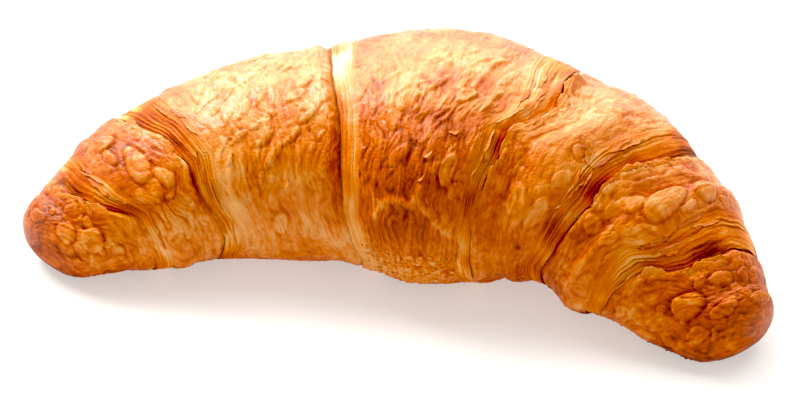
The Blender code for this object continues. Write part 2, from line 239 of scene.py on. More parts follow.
@dataclass
class Roll:
    """The plain roll: a soft oval section that is cut flat underneath and follows a bent spine."""

    left: Arm = Arm(Side.LEFT, reach=82.7, turn=57, middle_hold=29, tip_hold=20)
    right: Arm = Arm(Side.RIGHT, reach=83.2, turn=50, middle_hold=31, tip_hold=34)
    horn_forward: float = 35.3
    tip_rounding: float = 7.5
    widest_level: float = 0.47  # as a share of the roll's height
    under_reach: float = 1.04  # how far it reaches down, in widest levels, before it is pressed flat
    squareness: float = 2.2  # of its section: 2 is an oval, and more is squarer
    deepest: float = -0.8  # the nearest that anything comes to the spine, in half widths
    spine_steps: int = 160
    # Place along the spine, half width and height.
    sections: tuple[tuple[float, float, float], ...] = (
        (-86, 12.3, 18.0),
        (-72, 18.8, 29.0),
        (-55, 22.2, 36.6),
        (-38, 23.8, 41.8),
        (-18, 27.4, 45.6),
        (6, 32.0, 49.0),
        (24, 29.2, 49.0),
        (40, 25.6, 46.0),
        (57, 24.0, 39.6),
        (74, 18.4, 27.8),
        (87, 11.5, 18.0),
    )

    # How far apart the points are that a spot's axes are taken from, and how far out they lie.
    PROBE_STEP = 0.5
    PROBE_TURN = 1.0
    PROBE_LIFT = 1.0

    def __post_init__(self) -> None:
        """Joins the two arms into one spine."""
        left = self.left.points(self.horn_forward, self.spine_steps)
        right = self.right.points(self.horn_forward, self.spine_steps)
        self.points = np.concatenate([left[::-1], right[1:]])
        lengths = np.hypot(*np.diff(self.points, axis=0).T)
        self.along = np.concatenate([[0], np.cumsum(lengths)])
        self.along -= self.along[self.spine_steps - 1]
        course = np.gradient(self.points, self.along, axis=0)
        self.heading = np.arctan2(course[:, 1], course[:, 0])

    def section(self, along: Array) -> tuple[Array, Array]:
        """The roll's size, as smooth curves through the sections.

        Args:
            along: Places along the spine.

        Returns:
            Half its width, and its height.
        """
        table = np.array(self.sections)
        places, values = table[:, 0], table[:, 1:]
        slopes = np.gradient(values, places, axis=0)
        index = np.clip(np.searchsorted(places, along) - 1, 0, len(places) - 2)
        gap = (places[index + 1] - places[index])[..., None]
        share = np.clip((np.asarray(along) - places[index])[..., None] / gap, 0, 1)
        rise = share**2 * (3 - 2 * share)
        ahead = (1 - share) * slopes[index] - share * slopes[index + 1]
        sizes = values[index] * (1 - rise) + values[index + 1] * rise
        sizes = sizes + gap * share * (1 - share) * ahead
        return sizes[..., 0], sizes[..., 1]

    def tip_left(self, along: Array) -> Array:
        """How much of the roll's thickness is left as it closes to a horn's tip.

        Args:
            along: Places along the spine.

        Returns:
            What is left, from 1 to 0.
        """
        to_tip = np.minimum(along - self.along[0], self.along[-1] - along)
        closed = np.clip(1 - to_tip / self.tip_rounding, 0, 1)
        return np.sqrt(1 - closed**2)

    def radius(self, along: Array) -> Array:
        """The roll's mean radius."""
        width, height = self.section(along)
        return (width + height / 2) / 2 * self.tip_left(along)

    def at(self, along: Array, angle: Array, lift: Array) -> Array:
        """Points on the roll.

        Args:
            along: Places along the spine.
            angle: Angles round the roll, in degrees.
            lift: How far the points stand out of the plain roll.

        Returns:
            The points, with x, y and z on the last axis.
        """
        width, height = self.section(along)
        level = self.widest_level * height
        lift = np.maximum(lift, self.deepest * width)
        cosine = np.cos(np.radians(angle))
        sine = np.sin(np.radians(angle))
        power = self.squareness
        oval = (np.abs(cosine) ** power + np.abs(sine) ** power) ** (-1 / power)
        tall = np.where(sine >= 0, height - level, self.under_reach * level)
        left = self.tip_left(along)
        heading = np.interp(along, self.along, self.heading)
        out = (width + lift) * left * oval * cosine
        up = level + (tall + lift) * left * oval * sine
        middle = [np.interp(along, self.along, self.points[:, axis]) for axis in (0, 1)]
        x = middle[0] - np.sin(heading) * out
        y = middle[1] + np.cos(heading) * out
        return np.stack(np.broadcast_arrays(x, y, up), -1)

    def spine_point(self, along: float) -> Array:
        """The point of the spine itself, at the roll's widest level."""
        x, y = (np.interp(along, self.along, self.points[:, axis]) for axis in (0, 1))
        return np.array([x, y, self.widest_level * self.section(np.array(along))[1]])

    def axes(self, along: float, angle: float, lean: float = 0.0) -> tuple[Array, Array]:
        """A spot on the crust and its own axes.

        Args:
            along: The spot's place along the spine.
            angle: Its angle round the roll.
            lean: How far its length leans from round the roll towards the right horn, in degrees.

        Returns:
            The spot, and its length, width and outward directions as rows.
        """
        places = along + self.PROBE_STEP * np.array([0, 1, -1, 0, 0])
        angles = angle + self.PROBE_TURN * np.array([0, 0, 0, 1, -1])
        lifts = np.full(len(places), self.PROBE_LIFT)
        spot, right, left, onward, backward = self.at(places, angles, lifts)
        rightwards = (right - left) / np.linalg.norm(right - left)
        out = np.cross(onward - backward, rightwards)
        out /= np.linalg.norm(out)
        onwards = np.cross(rightwards, out)
        tilt = math.radians(lean)
        length_way = math.cos(tilt) * onwards + math.sin(tilt) * rightwards
        return spot, np.array([length_way, np.cross(out, length_way), out])


@dataclass(frozen=True)
class Seam:
    """A cut edge, where one segment lies on the next one out, as distances from the middle."""

    at_back: float
    at_front: float
    swings_from: float  # the angles between which it swings from its back place to its front one
    swings_to: float
    band: float  # width of the cut edge on the back and top
    front_band: float  # and at the front
    fall: float  # how far the cut edge falls to its foot
    groove: float  # how far the groove lies under that foot
    layers: int = 6  # layers of dough that show in the cut edge
    leaf: float = 0.45  # how far a layer stands out at its edge
    bake: float = 0.5  # how brown the cut layers are
    rim: float = 0.5  # how far the skin beyond the groove stands up at its edge
    rise: float = 1.0  # over how wide a strip that skin rises out of the groove
    curve: float = 1.5  # how late the cut edge falls
    flakes: int = 0  # how many flakes are torn loose on each side of it
    shuts: float = 175  # the angle at which it has half closed to a thin line
    opens: float = -60  # and the one, behind, from which it is open
    nudges: tuple[tuple[float, float], ...] = ((0, 0), (360, 0))  # at some angles, how far it strays
    waver: float = 0.3  # how far the seam strays from its line by chance
    seed: int = 1

    UNDER_FROM = 250
    UNDER_TO = 330
    GIRTH_RADIUS = 22  # of the circle on which the straying is drawn

    def front(self, angle_from: float, angle_to: float, angle: Array) -> Array:
        """1 at the front and 0 at the back, with a rise between two angles."""
        under = smooth_step(self.UNDER_FROM, self.UNDER_TO, angle)
        return smooth_step(angle_from, angle_to, angle) * (1 - under)

    def place(self, angle: Array) -> Array:
        """How far from the middle the seam crosses the given angles."""
        front = self.front(self.swings_from, self.swings_to, angle)
        nudged = np.interp(angle, *zip(*self.nudges)) + self.waver * self.strays(angle, 7.0)
        return self.at_back + (self.at_front - self.at_back) * front + nudged

    def strays(self, angle: Array, spacing: float) -> Array:
        """Noise round the seam, about -1 to 1."""
        turn = np.radians(angle)
        ring = np.stack([np.full_like(turn, self.seed), np.cos(turn), np.sin(turn)], -1)
        return Noise(self.seed).rough(ring * [1, self.GIRTH_RADIUS, self.GIRTH_RADIUS], spacing, 3)

    def slant(self, angle: float, radius: float) -> float:
        """How far the seam leans out of the plane across the roll at an angle, in degrees."""
        step = 4
        before, after = self.place(np.array([angle - step, angle + step], float))
        return math.degrees(math.atan((after - before) / (math.radians(2 * step) * radius)))

    def width(self, angle: Array) -> Array:
        """How wide the cut edge is at the given angles."""
        front = self.front(self.swings_from, self.swings_to, angle)
        return self.band + (self.front_band - self.band) * front

    def shut(self, angle: Array) -> Array:
        """How far the seam has closed to a thin line at the given angles, from 0 to 1."""
        soft, back_soft, under_from, under_to = 28, 9, 245, 300
        closed = smooth_step(self.shuts - soft, self.shuts + soft, angle)
        behind = 1 - smooth_step(self.opens - back_soft, self.opens + back_soft, angle)
        return np.maximum(closed * (1 - smooth_step(under_from, under_to, angle)), 0.85 * behind)

    def falls(self, angle: Array) -> Array:
        """How far the cut edge falls at the given angles."""
        back_to, top_from, back_ease, shut_ease = 50, 110, 0.6, 0.93
        front = self.front(back_to, top_from, angle)
        return self.fall * (1 - back_ease * (1 - front)) * (1 - shut_ease * self.shut(angle))

    def depth(self, angle: Array) -> Array:
        """How deep the groove lies under the level of the skin beyond it."""
        groove = self.groove * np.clip(0.5 + 0.7 * self.strays(angle, 4.0), 0.15, 1.2)
        return self.falls(angle) + groove * (1 - self.shut(angle))


class BlisterForm(Enum):
    """What a blister of the outer skin looks like."""

    PUFFED = "a closed bubble"
    RIMMED = "a sunken bubble with a raised rim"


@dataclass(frozen=True)
class Blister:
    """A bubble of the outer skin."""

    along: float
    angle: float
    length: float
    width: float
    tilt: float  # how far its length leans from round the roll towards the right horn
    height: float = 0.7
    taper: float = 0.0  # above 0, its far end is the fat one
    form: BlisterForm = BlisterForm.PUFFED
    ragged: float = 1.0  # how uneven its outline is
    pale: float = 0.0  # how much paler it is than the skin round it

    def relief(self, points: Array, roll: Roll) -> tuple[Array, Array, Array, Array]:
        """Its shape at some points.

        Args:
            points: Points of the crust near it.
            roll: The roll that it lies on.

        Returns:
            How far it lifts each point, how much of its top and of its crown each point has, from 0 to 1,
            and how far the skin is drawn in round it.
        """
        spot, axes = roll.axes(self.along, self.angle, self.tilt)
        long, wide, out = np.moveaxis((points - spot) @ axes.T, -1, 0)
        long = long / (self.length / 2)
        width = self.width / 2 * (1 + self.taper * np.clip(long, -1, 1))
        round_it = np.hypot(long, wide / width)
        round_it = np.where(np.abs(out) > self.length, 9.0, round_it)
        top = 1 - smooth_step(0.76, 1.04, round_it)
        crown = np.clip(1 - round_it**2, 0, 1) ** 0.6
        # its rim stands up most on the side that faces the key light, and the skin paints that rim paler as
        # a highlight
        curled = np.clip(0.6 - 0.45 * (long + 0.6 * wide / width), 0, 1.2)
        rim = bell(round_it - 0.84, 0.15) * curled
        if self.form is BlisterForm.RIMMED:
            lift = self.height * (rim + 0.25 * top + 0.2 * crown)
        else:
            lift = self.height * (0.35 * top + 0.55 * crown + 0.2 * rim)
        return lift, 0.6 * rim + 0.5 * top, crown, 0.3 * self.height * bell(round_it - 1.08, 0.16)


@dataclass(frozen=True)
class BlisterField:
    """Small blisters strewn over a stretch of the crust."""

    count: int
    along: tuple[float, float]
    angle: tuple[float, float]
    length: tuple[float, float]
    slimness: tuple[float, float]  # width as a share of length
    height: tuple[float, float]
    tilt: tuple[float, float]

    def blisters(self, random: np.random.Generator) -> list[Blister]:
        """Draws the blisters.

        Args:
            random: Where the chances come from.

        Returns:
            The blisters.
        """
        made = []
        for _ in range(self.count):
            along, angle, share, height, tilt = (
                random.uniform(*limits)
                for limits in (self.along, self.angle, self.slimness, self.height, self.tilt)
            )
            low, high = self.length
            length = low + (high - low) * random.random() ** 2
            taper = random.uniform(-0.3, 0.3)
            made.append(Blister(along, angle, length, length * share, tilt, height, taper))
        return made


@dataclass(frozen=True)
class Wrinkle:
    """A raised fold of the skin through a few places (along, angle)."""

    places: tuple[tuple[float, float], ...]
    width: float = 0.9
    height: float = 0.5
    bake: float = -0.04  # how much browner it is than the skin round it

    def relief(self, points: Array, roll: Roll, wobble: Array) -> Array:
        """How far it lifts each point.

        Args:
            points: Points of the crust.
            roll: The roll that it lies on.
            wobble: Noise that makes it uneven.

        Returns:
            The lifts.
        """
        nearest = np.full(points.shape[:-1], 99.0)
        line = [roll.axes(along, angle)[0] for along, angle in self.places]
        for start, end in zip(line, line[1:]):
            way = end - start
            share = np.clip((points - start) @ way / (way @ way), 0, 1)
            nearest = np.minimum(nearest, np.linalg.norm(points - start - share[..., None] * way, axis=-1))
        return self.height * bell(nearest * (1 + 0.35 * wobble), self.width) * (1 + 0.4 * wobble)


class Mark(Enum):
    """What sets a stretch of the crust apart."""

    PALE = "less baked"
    # beside the left inner seam DARK stands for painted shade, not bake
    DARK = "more baked"
    SMOOTH = "tight, even skin"
    CRUMBLY = "broken skin with fine crumbs"
    COCKLED = "deeply wrinkled skin"
    PLEATED = "skin with long fine folds round the roll"
    STRIATED = "skin with fine lines along the roll"


@dataclass(frozen=True)
class Patch:
    """A stretch of the crust that is set apart, with a soft border."""

    mark: Mark
    along: float
    angle: float
    length: float  # round the roll
    width: float  # along the roll
    amount: float = 1.0
    tilt: float = 0.0

    def share(self, points: Array, roll: Roll) -> Array:
        """How much each point belongs to it, from 0 to its amount."""
        spot, axes = roll.axes(self.along, self.angle, self.tilt)
        long, wide, out = np.moveaxis((points - spot) @ axes.T, -1, 0)
        far = (2 * long / self.length) ** 2 + (2 * wide / self.width) ** 2
        near_side = 1 - smooth_step(10, 20, -out)
        return self.amount * np.exp(-(far**1.5)) * near_side


@dataclass
class Rows:
    """Rows of a segment's surface, as arrays of rows by angles."""

    away: Array  # distance from the middle of the roll
    lift: Array
    band: Array  # share of the way down the cut edge, below 0 on the skin before it
    lip: Array  # distance beyond the groove, large where there is none

    FAR = 99.0

    @classmethod
    def of(cls, away: Array, lift: Array, band: Array | float, lip: Array | float) -> Rows:
        """Rows whose parts are spread to the same shape."""
        return cls(*(np.array(part) for part in np.broadcast_arrays(away, lift, band, lip)))

    @classmethod
    def joined(cls, parts: list[Rows]) -> Rows:
        """One after the other."""
        names = ("away", "lift", "band", "lip")
        return cls(*(np.concatenate([getattr(part, name) for part in parts]) for name in names))

    def mirrored(self) -> Rows:
        """The same rows on the other side of the middle, in the opposite order."""
        return Rows(-self.away[::-1], self.lift[::-1], self.band[::-1], self.lip[::-1])


@dataclass
class Surface:
    """A segment's surface before its relief, as arrays of rows by angles."""

    along: Array
    angle: Array
    rows: Rows
    points: Array
    grain: Array  # place across the layers and round the roll, for what runs along the layers
    depth: Array  # how deep the groove is that it comes out of, by angle
    falls: dict[Side, Array]  # how far its cut edges fall, by angle
    middle: bool  # whether it has a cut edge at both ends


@dataclass
class Leaves:
    """The layers that show in a cut edge: what they add at each point."""

    lift: Array
    slide: Array  # outwards along the roll
    cut: Array  # how much of each point is cut layers, not skin
    tone: Array  # how much browner it is than the edge as a whole, with painted shadow behind each layer's edge
    painted_shadow: Array  # painted shadow: how much it lies behind a layer's edge


@dataclass
class Dressing:
    """A segment's relief and colour fields."""

    lift: Array
    slide: Array  # towards the right along the roll
    bake: Array  # how brown, from 0, straw, to 1, burnt; holds painted shade in creases and painted highlights on blisters too
    cut: Array  # how much shows cut layers
    gap: Array  # painted shade in the gap that it lies in
    wash: Array  # how much egg wash lies on it


def puffed(noise: Array) -> Array:
    """Rounded cells that meet in creases, from 0 in a crease to 1, drawn from a noise."""
    return np.clip(np.abs(noise) * 2.8, 0, 1) ** 0.5


@dataclass(frozen=True)
class BakedCrust:
    """Egg-washed butter pastry, baked: amber to brown skin with a soft shine over paler layers."""

    straw: str = "F7D8B8"
    honey: str = "F0AA5E"
    amber: str = "E27E18"
    chestnut: str = "C65A0C"
    brown: str = "8F3A06"
    burnt: str = "4A1A04"
    # painted shade, in the gaps between layers and behind their edges
    shade: str = "5E3412"
    sheen: str = "FFE9D2"
    shine: float = 0.75  # of the egg wash
    roughness: float = 0.42
    cut_roughness: float = 0.6
    streak_across: float = 0.45  # spacing of the fine streaks across the layers
    streak_along: float = 9.0
    mottle: float = 5.0
    pore: float = 0.55

    def make(self) -> bpy.types.Material:
        """The material, which reads how baked and how open each point is, and how much painted shade lies
        on it.
        """
        crust = bpy.data.materials.new("egg_washed_pastry_crust")
        crust.use_nodes = True
        tree = crust.node_tree
        shader = tree.nodes["Principled BSDF"]
        bake = add_node(tree, "ShaderNodeAttribute", attribute_name="bake").outputs["Fac"]
        cut = add_node(tree, "ShaderNodeAttribute", attribute_name="cut").outputs["Fac"]
        gap = add_node(tree, "ShaderNodeAttribute", attribute_name="gap").outputs["Fac"]
        wash = add_node(tree, "ShaderNodeAttribute", attribute_name="wash").outputs["Fac"]
        grain = add_node(tree, "ShaderNodeAttribute", attribute_name="grain").outputs["Vector"]
        spot = add_node(tree, "ShaderNodeTexCoord").outputs["Object"]
        mapped = add_node(
            tree,
            "ShaderNodeMapping",
            {0: grain, "Scale": (1 / self.streak_across, 1 / self.streak_along, 1 / self.streak_along)},
        )
        streak = add_node(
            tree,
            "ShaderNodeTexNoise",
            {"Vector": mapped.outputs[0], "Scale": 1.0, "Detail": 4.0, "Roughness": 0.6},
        ).outputs["Fac"]
        mottle = add_node(
            tree,
            "ShaderNodeTexNoise",
            {"Vector": spot, "Scale": 1 / (self.mottle * MM), "Detail": 5.0, "Roughness": 0.6},
        ).outputs["Fac"]
        pore = add_node(
            tree,
            "ShaderNodeTexNoise",
            {"Vector": spot, "Scale": 1 / (self.pore * MM), "Detail": 3.0, "Roughness": 0.55},
        ).outputs["Fac"]
        streak_weight = add_node(
            tree, "ShaderNodeMath", {0: cut, 1: 0.5, 2: 0.2}, operation="MULTIPLY_ADD"
        ).outputs[0]
        streak_part = add_node(tree, "ShaderNodeMath", {0: streak, 1: 0.5}, operation="SUBTRACT").outputs[0]
        mottle_part = add_node(tree, "ShaderNodeMath", {0: mottle, 1: 0.5}, operation="SUBTRACT").outputs[0]
        streaked = add_node(
            tree, "ShaderNodeMath", {0: streak_part, 1: streak_weight, 2: bake}, operation="MULTIPLY_ADD"
        ).outputs[0]
        mottled = add_node(
            tree, "ShaderNodeMath", {0: mottle_part, 1: 0.35, 2: streaked}, operation="MULTIPLY_ADD"
        ).outputs[0]
        colour = add_node(
            tree,
            "ShaderNodeValToRGB",
            {0: mottled},
            stops=[
                (0.0, self.straw),
                (0.22, self.honey),
                (0.42, self.amber),
                (0.62, self.chestnut),
                (0.82, self.brown),
                (1.0, self.burnt),
            ],
        ).outputs["Color"]
        # painted shade: the colour turns to the shade colour in gaps and behind layer edges
        colour_with_painted_shade = add_node(
            tree,
            "ShaderNodeMix",
            {"Factor": gap, 6: colour, 7: linear_colour(self.shade)},
            data_type="RGBA",
        ).outputs[2]
        rough = add_node(
            tree,
            "ShaderNodeMapRange",
            {0: cut, 1: 0.0, 2: 1.0, 3: self.roughness, 4: self.cut_roughness},
        ).outputs[0]
        rough_spots = add_node(
            tree, "ShaderNodeMath", {0: mottle_part, 1: 0.25, 2: rough}, operation="MULTIPLY_ADD"
        ).outputs[0]
        fine = add_node(tree, "ShaderNodeBump", {"Strength": 0.8, "Distance": 0.45 * MM, "Height": pore})
        lined = add_node(
            tree,
            "ShaderNodeBump",
            {"Strength": 0.7, "Distance": 0.35 * MM, "Height": streak, "Normal": fine.outputs[0]},
        )
        shine = add_node(tree, "ShaderNodeMath", {0: wash, 1: self.shine}, operation="MULTIPLY").outputs[0]
        tree.links.new(shine, shader.inputs["Coat Weight"])
        level = add_node(tree, "ShaderNodeMapRange", {0: wash, 1: 0.0, 2: 0.6, 3: 0.15, 4: 0.5}).outputs[0]
        tree.links.new(level, shader.inputs["Specular IOR Level"])
        tree.links.new(colour_with_painted_shade, shader.inputs["Base Color"])
        tree.links.new(rough_spots, shader.inputs["Roughness"])
        tree.links.new(lined.outputs[0], shader.inputs["Normal"])
        shader.inputs["IOR"].default_value = 1.48
        shader.inputs["Specular Tint"].default_value = linear_colour(self.sheen)
        shader.inputs["Coat Roughness"].default_value = 0.3
        shader.inputs["Subsurface Weight"].default_value = 0.08
        shader.inputs["Subsurface Radius"].default_value = (1.0, 0.4, 0.12)
        shader.inputs["Subsurface Scale"].default_value = 1.0 * MM
        return crust


@dataclass
class Skin:
    """The relief and the browning of the crust, with painted shade in creases and gaps and painted
    highlights on blisters.
    """

    roll: Roll
    blisters: tuple[Blister, ...]
    wrinkles: tuple[Wrinkle, ...]
    patches: tuple[Patch, ...]
    seed: int = 11
    swell: float = 0.5  # uneven swelling of the dough
    cockle: float = 0.26  # cells of wrinkled skin
    pucker: float = 0.11  # and the finer cells on them
    thread: float = 0.05  # fine ridges along the layers
    pleat: float = 0.2  # broader ones
    stria: float = 0.16  # fine lines along the roll
    uneven: float = 0.6  # how far a blister's outline strays
    grit: float = 0.05  # fine roughness
    foot_fade: float = 0.9  # how much of the layers' relief is lost at the front foot

    # Angles round the roll.
    FOOT_FADES = (142, 190)  # between which that relief is lost
    UNDERSIDE_FROM = (238, 252)
    UNDERSIDE_TO = (292, 312)
    FLAKY_FROM = (30, 60)  # where the skin at a lip is torn
    FLAKY_TO = (125, 165)
    FOOT_EDGES = (165, 205)  # where cut edges are browner
    LEAST_BAKED = (108, 155)  # between which the palest spots come up to the least bake
    HALF_BRUSHED = (92, 140)  # between which half of the egg wash is lost
    UNBRUSHED = (190, 220)  # and the other half
    BRUSHED = (315, 355)  # and between which it all starts again

    # Heights above what the croissant rests on.
    PRESSED = (1, 4)  # between which the flat underside ends
    BROWN_FOOT = (0.5, 6.5)  # and the brown foot

    # Distances from the middle.
    EDGE_STARTS = (0, 4)  # over which a cut edge starts
    DULL_HORNS = (48, 72)  # over which the egg wash thins

    # Shares of a cut edge.
    SKIN_ENDS = (-0.05, 0.3)
    LAYERS_SHOW = (-0.05, 0.35)
    LAYERS_BROWNER = (0.45, 0.95)
    LAYERS_END = (0.97, 1.0)
    GROOVE_SHADE = (0.95, 1.0)

    BAKES = (0.27, 0.86)  # the least and the most
    DULL_BAKES = (0.4, 0.65)  # between which the egg wash thins
    TORN_EDGE = (-0.15, 0.15)  # from the one side of an edge to the other
    TORN_SLOPE = (0.15, 2.6)  # over which a torn layer falls again
    CRISP_LEAF = 0.25  # a layer that stands out this far has a crisp edge

    # A torn edge: strength and length of each size of tear, which are read along the edge only.
    EVEN = 60
    LAYER_TEARS = ((0.7, 15), (0.15, 3.4), (0.09, 1.1))
    LIP_TEARS = ((0.4, 4.5), (0.15, 1.2))
    LONG_TEARS = ((0.8, 5),)
    SHORT_TEARS = ((0.3, 1.6),)
    TORN_LAYERS = (1.6, 2.7, 4.0)  # how far beyond the lip further layers end

    def __post_init__(self) -> None:
        """Draws the noises."""
        self.broad, self.middle, self.fine, self.wobbly = (Noise(self.seed + step) for step in range(4))

    def marked(self, mark: Mark, points: Array) -> Array:
        """How much each point has of a mark."""
        found = [patch.share(points, self.roll) for patch in self.patches if patch.mark is mark]
        return np.clip(sum(found, np.zeros(points.shape[:-1])), 0, 1)

    def torn(self, line: Array, tears: tuple[tuple[float, float], ...]) -> Array:
        """How far a torn edge strays at places across and round the layers."""
        return sum(size * self.wobbly.at(line, (self.EVEN, far, far)) for size, far in tears)

    def leaves(self, surface: Surface, seam: Seam, side: Side, foot: Array) -> Leaves:
        """The layers of a cut edge, each with its own torn edge, falling in steps to its foot.

        Args:
            surface: The segment's surface.
            seam: The cut edge.
            side: The half of the croissant that the edge lies on.
            foot: How far the whole edge falls, by angle.

        Returns:
            Their relief and colour, with painted shadow behind each layer's edge.
        """
        band, grain = surface.rows.band, surface.grain
        ring = grain[-1 if side is Side.RIGHT or not surface.middle else 0]
        step = 1 / seam.layers
        share = np.clip(band, 0, 1)
        lift = foot * share**seam.curve
        slide = np.zeros_like(band)
        painted_shadow = np.zeros_like(band)
        tone = np.zeros_like(band)
        cut = None
        falls = np.diff(np.linspace(0, 1, seam.layers + 1) ** seam.curve)
        faded = 1 - self.foot_fade * smooth_step(*self.FOOT_FADES, surface.angle)
        for layer in range(seam.layers):
            own = ring + np.array([31 * layer, 0, 17 * side.value])
            torn = self.torn(own, self.LAYER_TEARS)
            edge = (layer + 0.25) * step + 0.75 * step * torn
            past = (band - edge) / step
            beyond = smooth_step(*self.TORN_EDGE, past)
            strength = np.clip(0.4 + 1.1 * self.fine.at(own, (self.EVEN, 9, 9)), 0.04, 1.6) * faded
            proud = seam.leaf * strength
            near = bell(past + 0.25, 0.32) * (past < 0.15)
            lift = lift - (falls[layer] * foot + 0.7 * proud) * beyond
            lift = lift + 0.7 * proud * smooth_step(0, 1.2, past) + 0.3 * proud * near
            slide = slide + 0.45 * proud * near
            # painted shadow behind each layer's edge: it browns the tone and shades the gap
            behind = bell(past - 0.12, 0.4) * (past > -0.12) * np.clip(strength, 0, 1)
            painted_shadow = np.maximum(painted_shadow, behind)
            tone = tone - 0.16 * near * strength + 0.18 * behind
            tone = tone + 0.12 * beyond * self.middle.at(own + 5, (self.EVEN, 9, 9))
            cut = beyond if cut is None else cut
        strands = self.fine.at(grain, (0.4, 13, 13)) + 0.6 * self.middle.at(grain, (1.1, 16, 16))
        tone = tone * min(1, seam.leaf / self.CRISP_LEAF)
        foot_tone = smooth_step(*self.LAYERS_BROWNER, band) * faded - 0.4
        tone = tone + 0.12 * strands + 0.1 * foot_tone
        cut = cut * smooth_step(*self.LAYERS_SHOW, band)
        ended = 1 - smooth_step(*self.LAYERS_END, band)
        return Leaves(lift * ended, slide * ended, cut, tone, painted_shadow)

    def dress(self, surface: Surface, seams: dict[Side, Seam], inner: Seam | None, bake: float) -> Dressing:
        """The relief and the colour fields of a segment.

        Args:
            surface: Its surface before the relief.
            seams: Its cut edges.
            inner: The seam that it comes out of, if any.
            bake: How brown it is.

        Returns:
            Them all.
        """
        rows, points, grain = surface.rows, surface.points, surface.grain
        smooth = self.marked(Mark.SMOOTH, points)
        crumbly = self.marked(Mark.CRUMBLY, points)
        cockled = self.marked(Mark.COCKLED, points)
        height = points[..., 2] + 1.5 * self.middle.at(points, 3.5)
        under = smooth_step(*self.UNDERSIDE_FROM, surface.angle)
        under = under * (1 - smooth_step(*self.UNDERSIDE_TO, surface.angle))
        under = under * (1 - smooth_step(*self.PRESSED, height))
        on_skin = 1 - smooth_step(*self.SKIN_ENDS, rows.band)
        warp = np.stack([self.broad.at(points + shift, 6.0) for shift in (0, 31, 67)], -1)
        bent = grain + 2.0 * warp
        cells = puffed(self.middle.at(bent, (2.3, 5.4, 5.4)))
        small = puffed(self.fine.at(bent, (1.0, 2.0, 2.0)))
        threads = self.fine.at(grain, (0.5, 8.0, 8.0))
        pleated = 0.35 + self.marked(Mark.PLEATED, points) * (0.6 + 0.6 * self.broad.at(points, 7.0))
        pleats = self.middle.at(grain + 1.2 * warp, (1.5, 17, 17))
        pleats = pleats + 0.5 * self.fine.at(grain, (0.7, 11, 11))
        tight = (1 - 0.6 * smooth) * (0.7 + 0.8 * cockled) * (1 - 0.6 * under)
        lift = self.swell * self.broad.rough(points, 15.0, 2)
        lift = lift + on_skin * tight * (self.cockle * (cells - 0.8) + self.pucker * (small - 0.8))
        striae = self.fine.rough(grain / (9, 1, 1), 1.3, 2) * self.marked(Mark.STRIATED, points)
        lift = lift + on_skin * (self.pleat * pleated * pleats + self.stria * striae)
        lift = lift + self.thread * threads * (1 + on_skin)
        lift = lift + crumbly * 0.35 * self.fine.rough(points, 1.5, 2)
        lift = lift + self.grit * self.fine.rough(points, 1.9, 2)
        raised = np.zeros_like(lift)
        blister_tops_and_lit_rims = np.zeros_like(lift)
        drawn = np.zeros_like(lift)
        pale_and_highlit_tops = np.zeros_like(lift)
        wobble = self.middle.rough(points, 4.0, 2)
        uneven = np.stack([self.middle.rough(points + shift, 4.6, 3) for shift in (11, 43, 79)], -1)
        uneven = self.uneven * uneven
        lumpy = 1 + 0.25 * self.fine.at(points, 3.0)
        reach = surface.along.min() - 4, surface.along.max() + 4
        for blister in self.blisters:
            if not reach[0] < blister.along < reach[1]:
                continue
            spot = self.roll.axes(blister.along, blister.angle)[0]
            near = np.abs(points - spot).max(axis=-1) < 0.8 * blister.length + 1
            strayed = points[near] + blister.ragged * uneven[near]
            shape, top, crown, draw = blister.relief(strayed, self.roll)
            raised[near] = np.maximum(raised[near], shape)
            blister_tops_and_lit_rims[near] = np.maximum(blister_tops_and_lit_rims[near], top)
            drawn[near] = np.maximum(drawn[near], draw)
            # a paler crown, plus a painted highlight on the rim that faces the key light
            pale = blister.pale * crown + 0.1 * np.clip(top - 0.6, 0, 1)
            pale_and_highlit_tops[near] = np.maximum(pale_and_highlit_tops[near], pale)
        drawn = drawn * np.clip(1 - 2 * blister_tops_and_lit_rims, 0, 1)
        raised = (raised - drawn) * lumpy
        lift = lift + raised * on_skin
        blister_tops_and_lit_rims = blister_tops_and_lit_rims * on_skin
        folds = np.zeros_like(lift)
        folds_bake = np.zeros_like(lift)
        for wrinkle in self.wrinkles:
            fold = wrinkle.relief(points, self.roll, wobble)
            folds = np.maximum(folds, fold)
            folds_bake = folds_bake + wrinkle.bake * np.clip(fold / wrinkle.height, 0, 1)
        lift = lift + folds
        rolled = np.clip(1.2 * folds, 0, 1)
        cut = np.zeros_like(lift)
        # painted shade at the foot of a cut edge, down in the groove
        gap = smooth_step(*self.GROOVE_SHADE, rows.band)
        slide = np.zeros_like(lift)
        # painted shade: creases between cells and the groove round a blister are browner, and raised
        # blister faces and rims toward the key light painted paler
        crease = (0.5 * (0.8 - cells) + 0.3 * (0.8 - small)) * tight + np.clip(1.5 * drawn, 0, 0.4)
        brown = bake + 0.1 * self.broad.rough(points, 11.0, 2) + 0.32 * crease * on_skin - 0.1 * blister_tops_and_lit_rims
        brown = brown - on_skin * (0.09 * pleated * pleats + 0.14 * striae)
        flecks = self.fine.at(bent, (1.1, 2.2, 2.2)) + 0.7 * self.middle.at(bent + 9, (0.7, 1.2, 1.2))
        brown = brown - on_skin * (0.1 * flecks + 0.28 * pale_and_highlit_tops)
        low = smooth_step(*self.FOOT_EDGES, surface.angle)
        brown = brown + 0.2 * (1 - smooth_step(*self.BROWN_FOOT, height)) * (1 - 0.7 * crumbly)
        for side, seam in seams.items():
            here = smooth_step(*self.EDGE_STARTS, side.value * surface.along)
            leaves = self.leaves(surface, seam, side, surface.falls[side])
            lift = lift + here * leaves.lift * (1 - 0.85 * rolled)
            slide = slide + side.value * here * leaves.slide * (1 - rolled)
            open_ = leaves.cut * here * (1 - 0.7 * rolled)
            brown = brown + (seam.bake + 0.04 * low + leaves.tone - brown) * open_
            crisp = min(1, seam.leaf / self.CRISP_LEAF)
            cut = np.maximum(cut, crisp * open_)
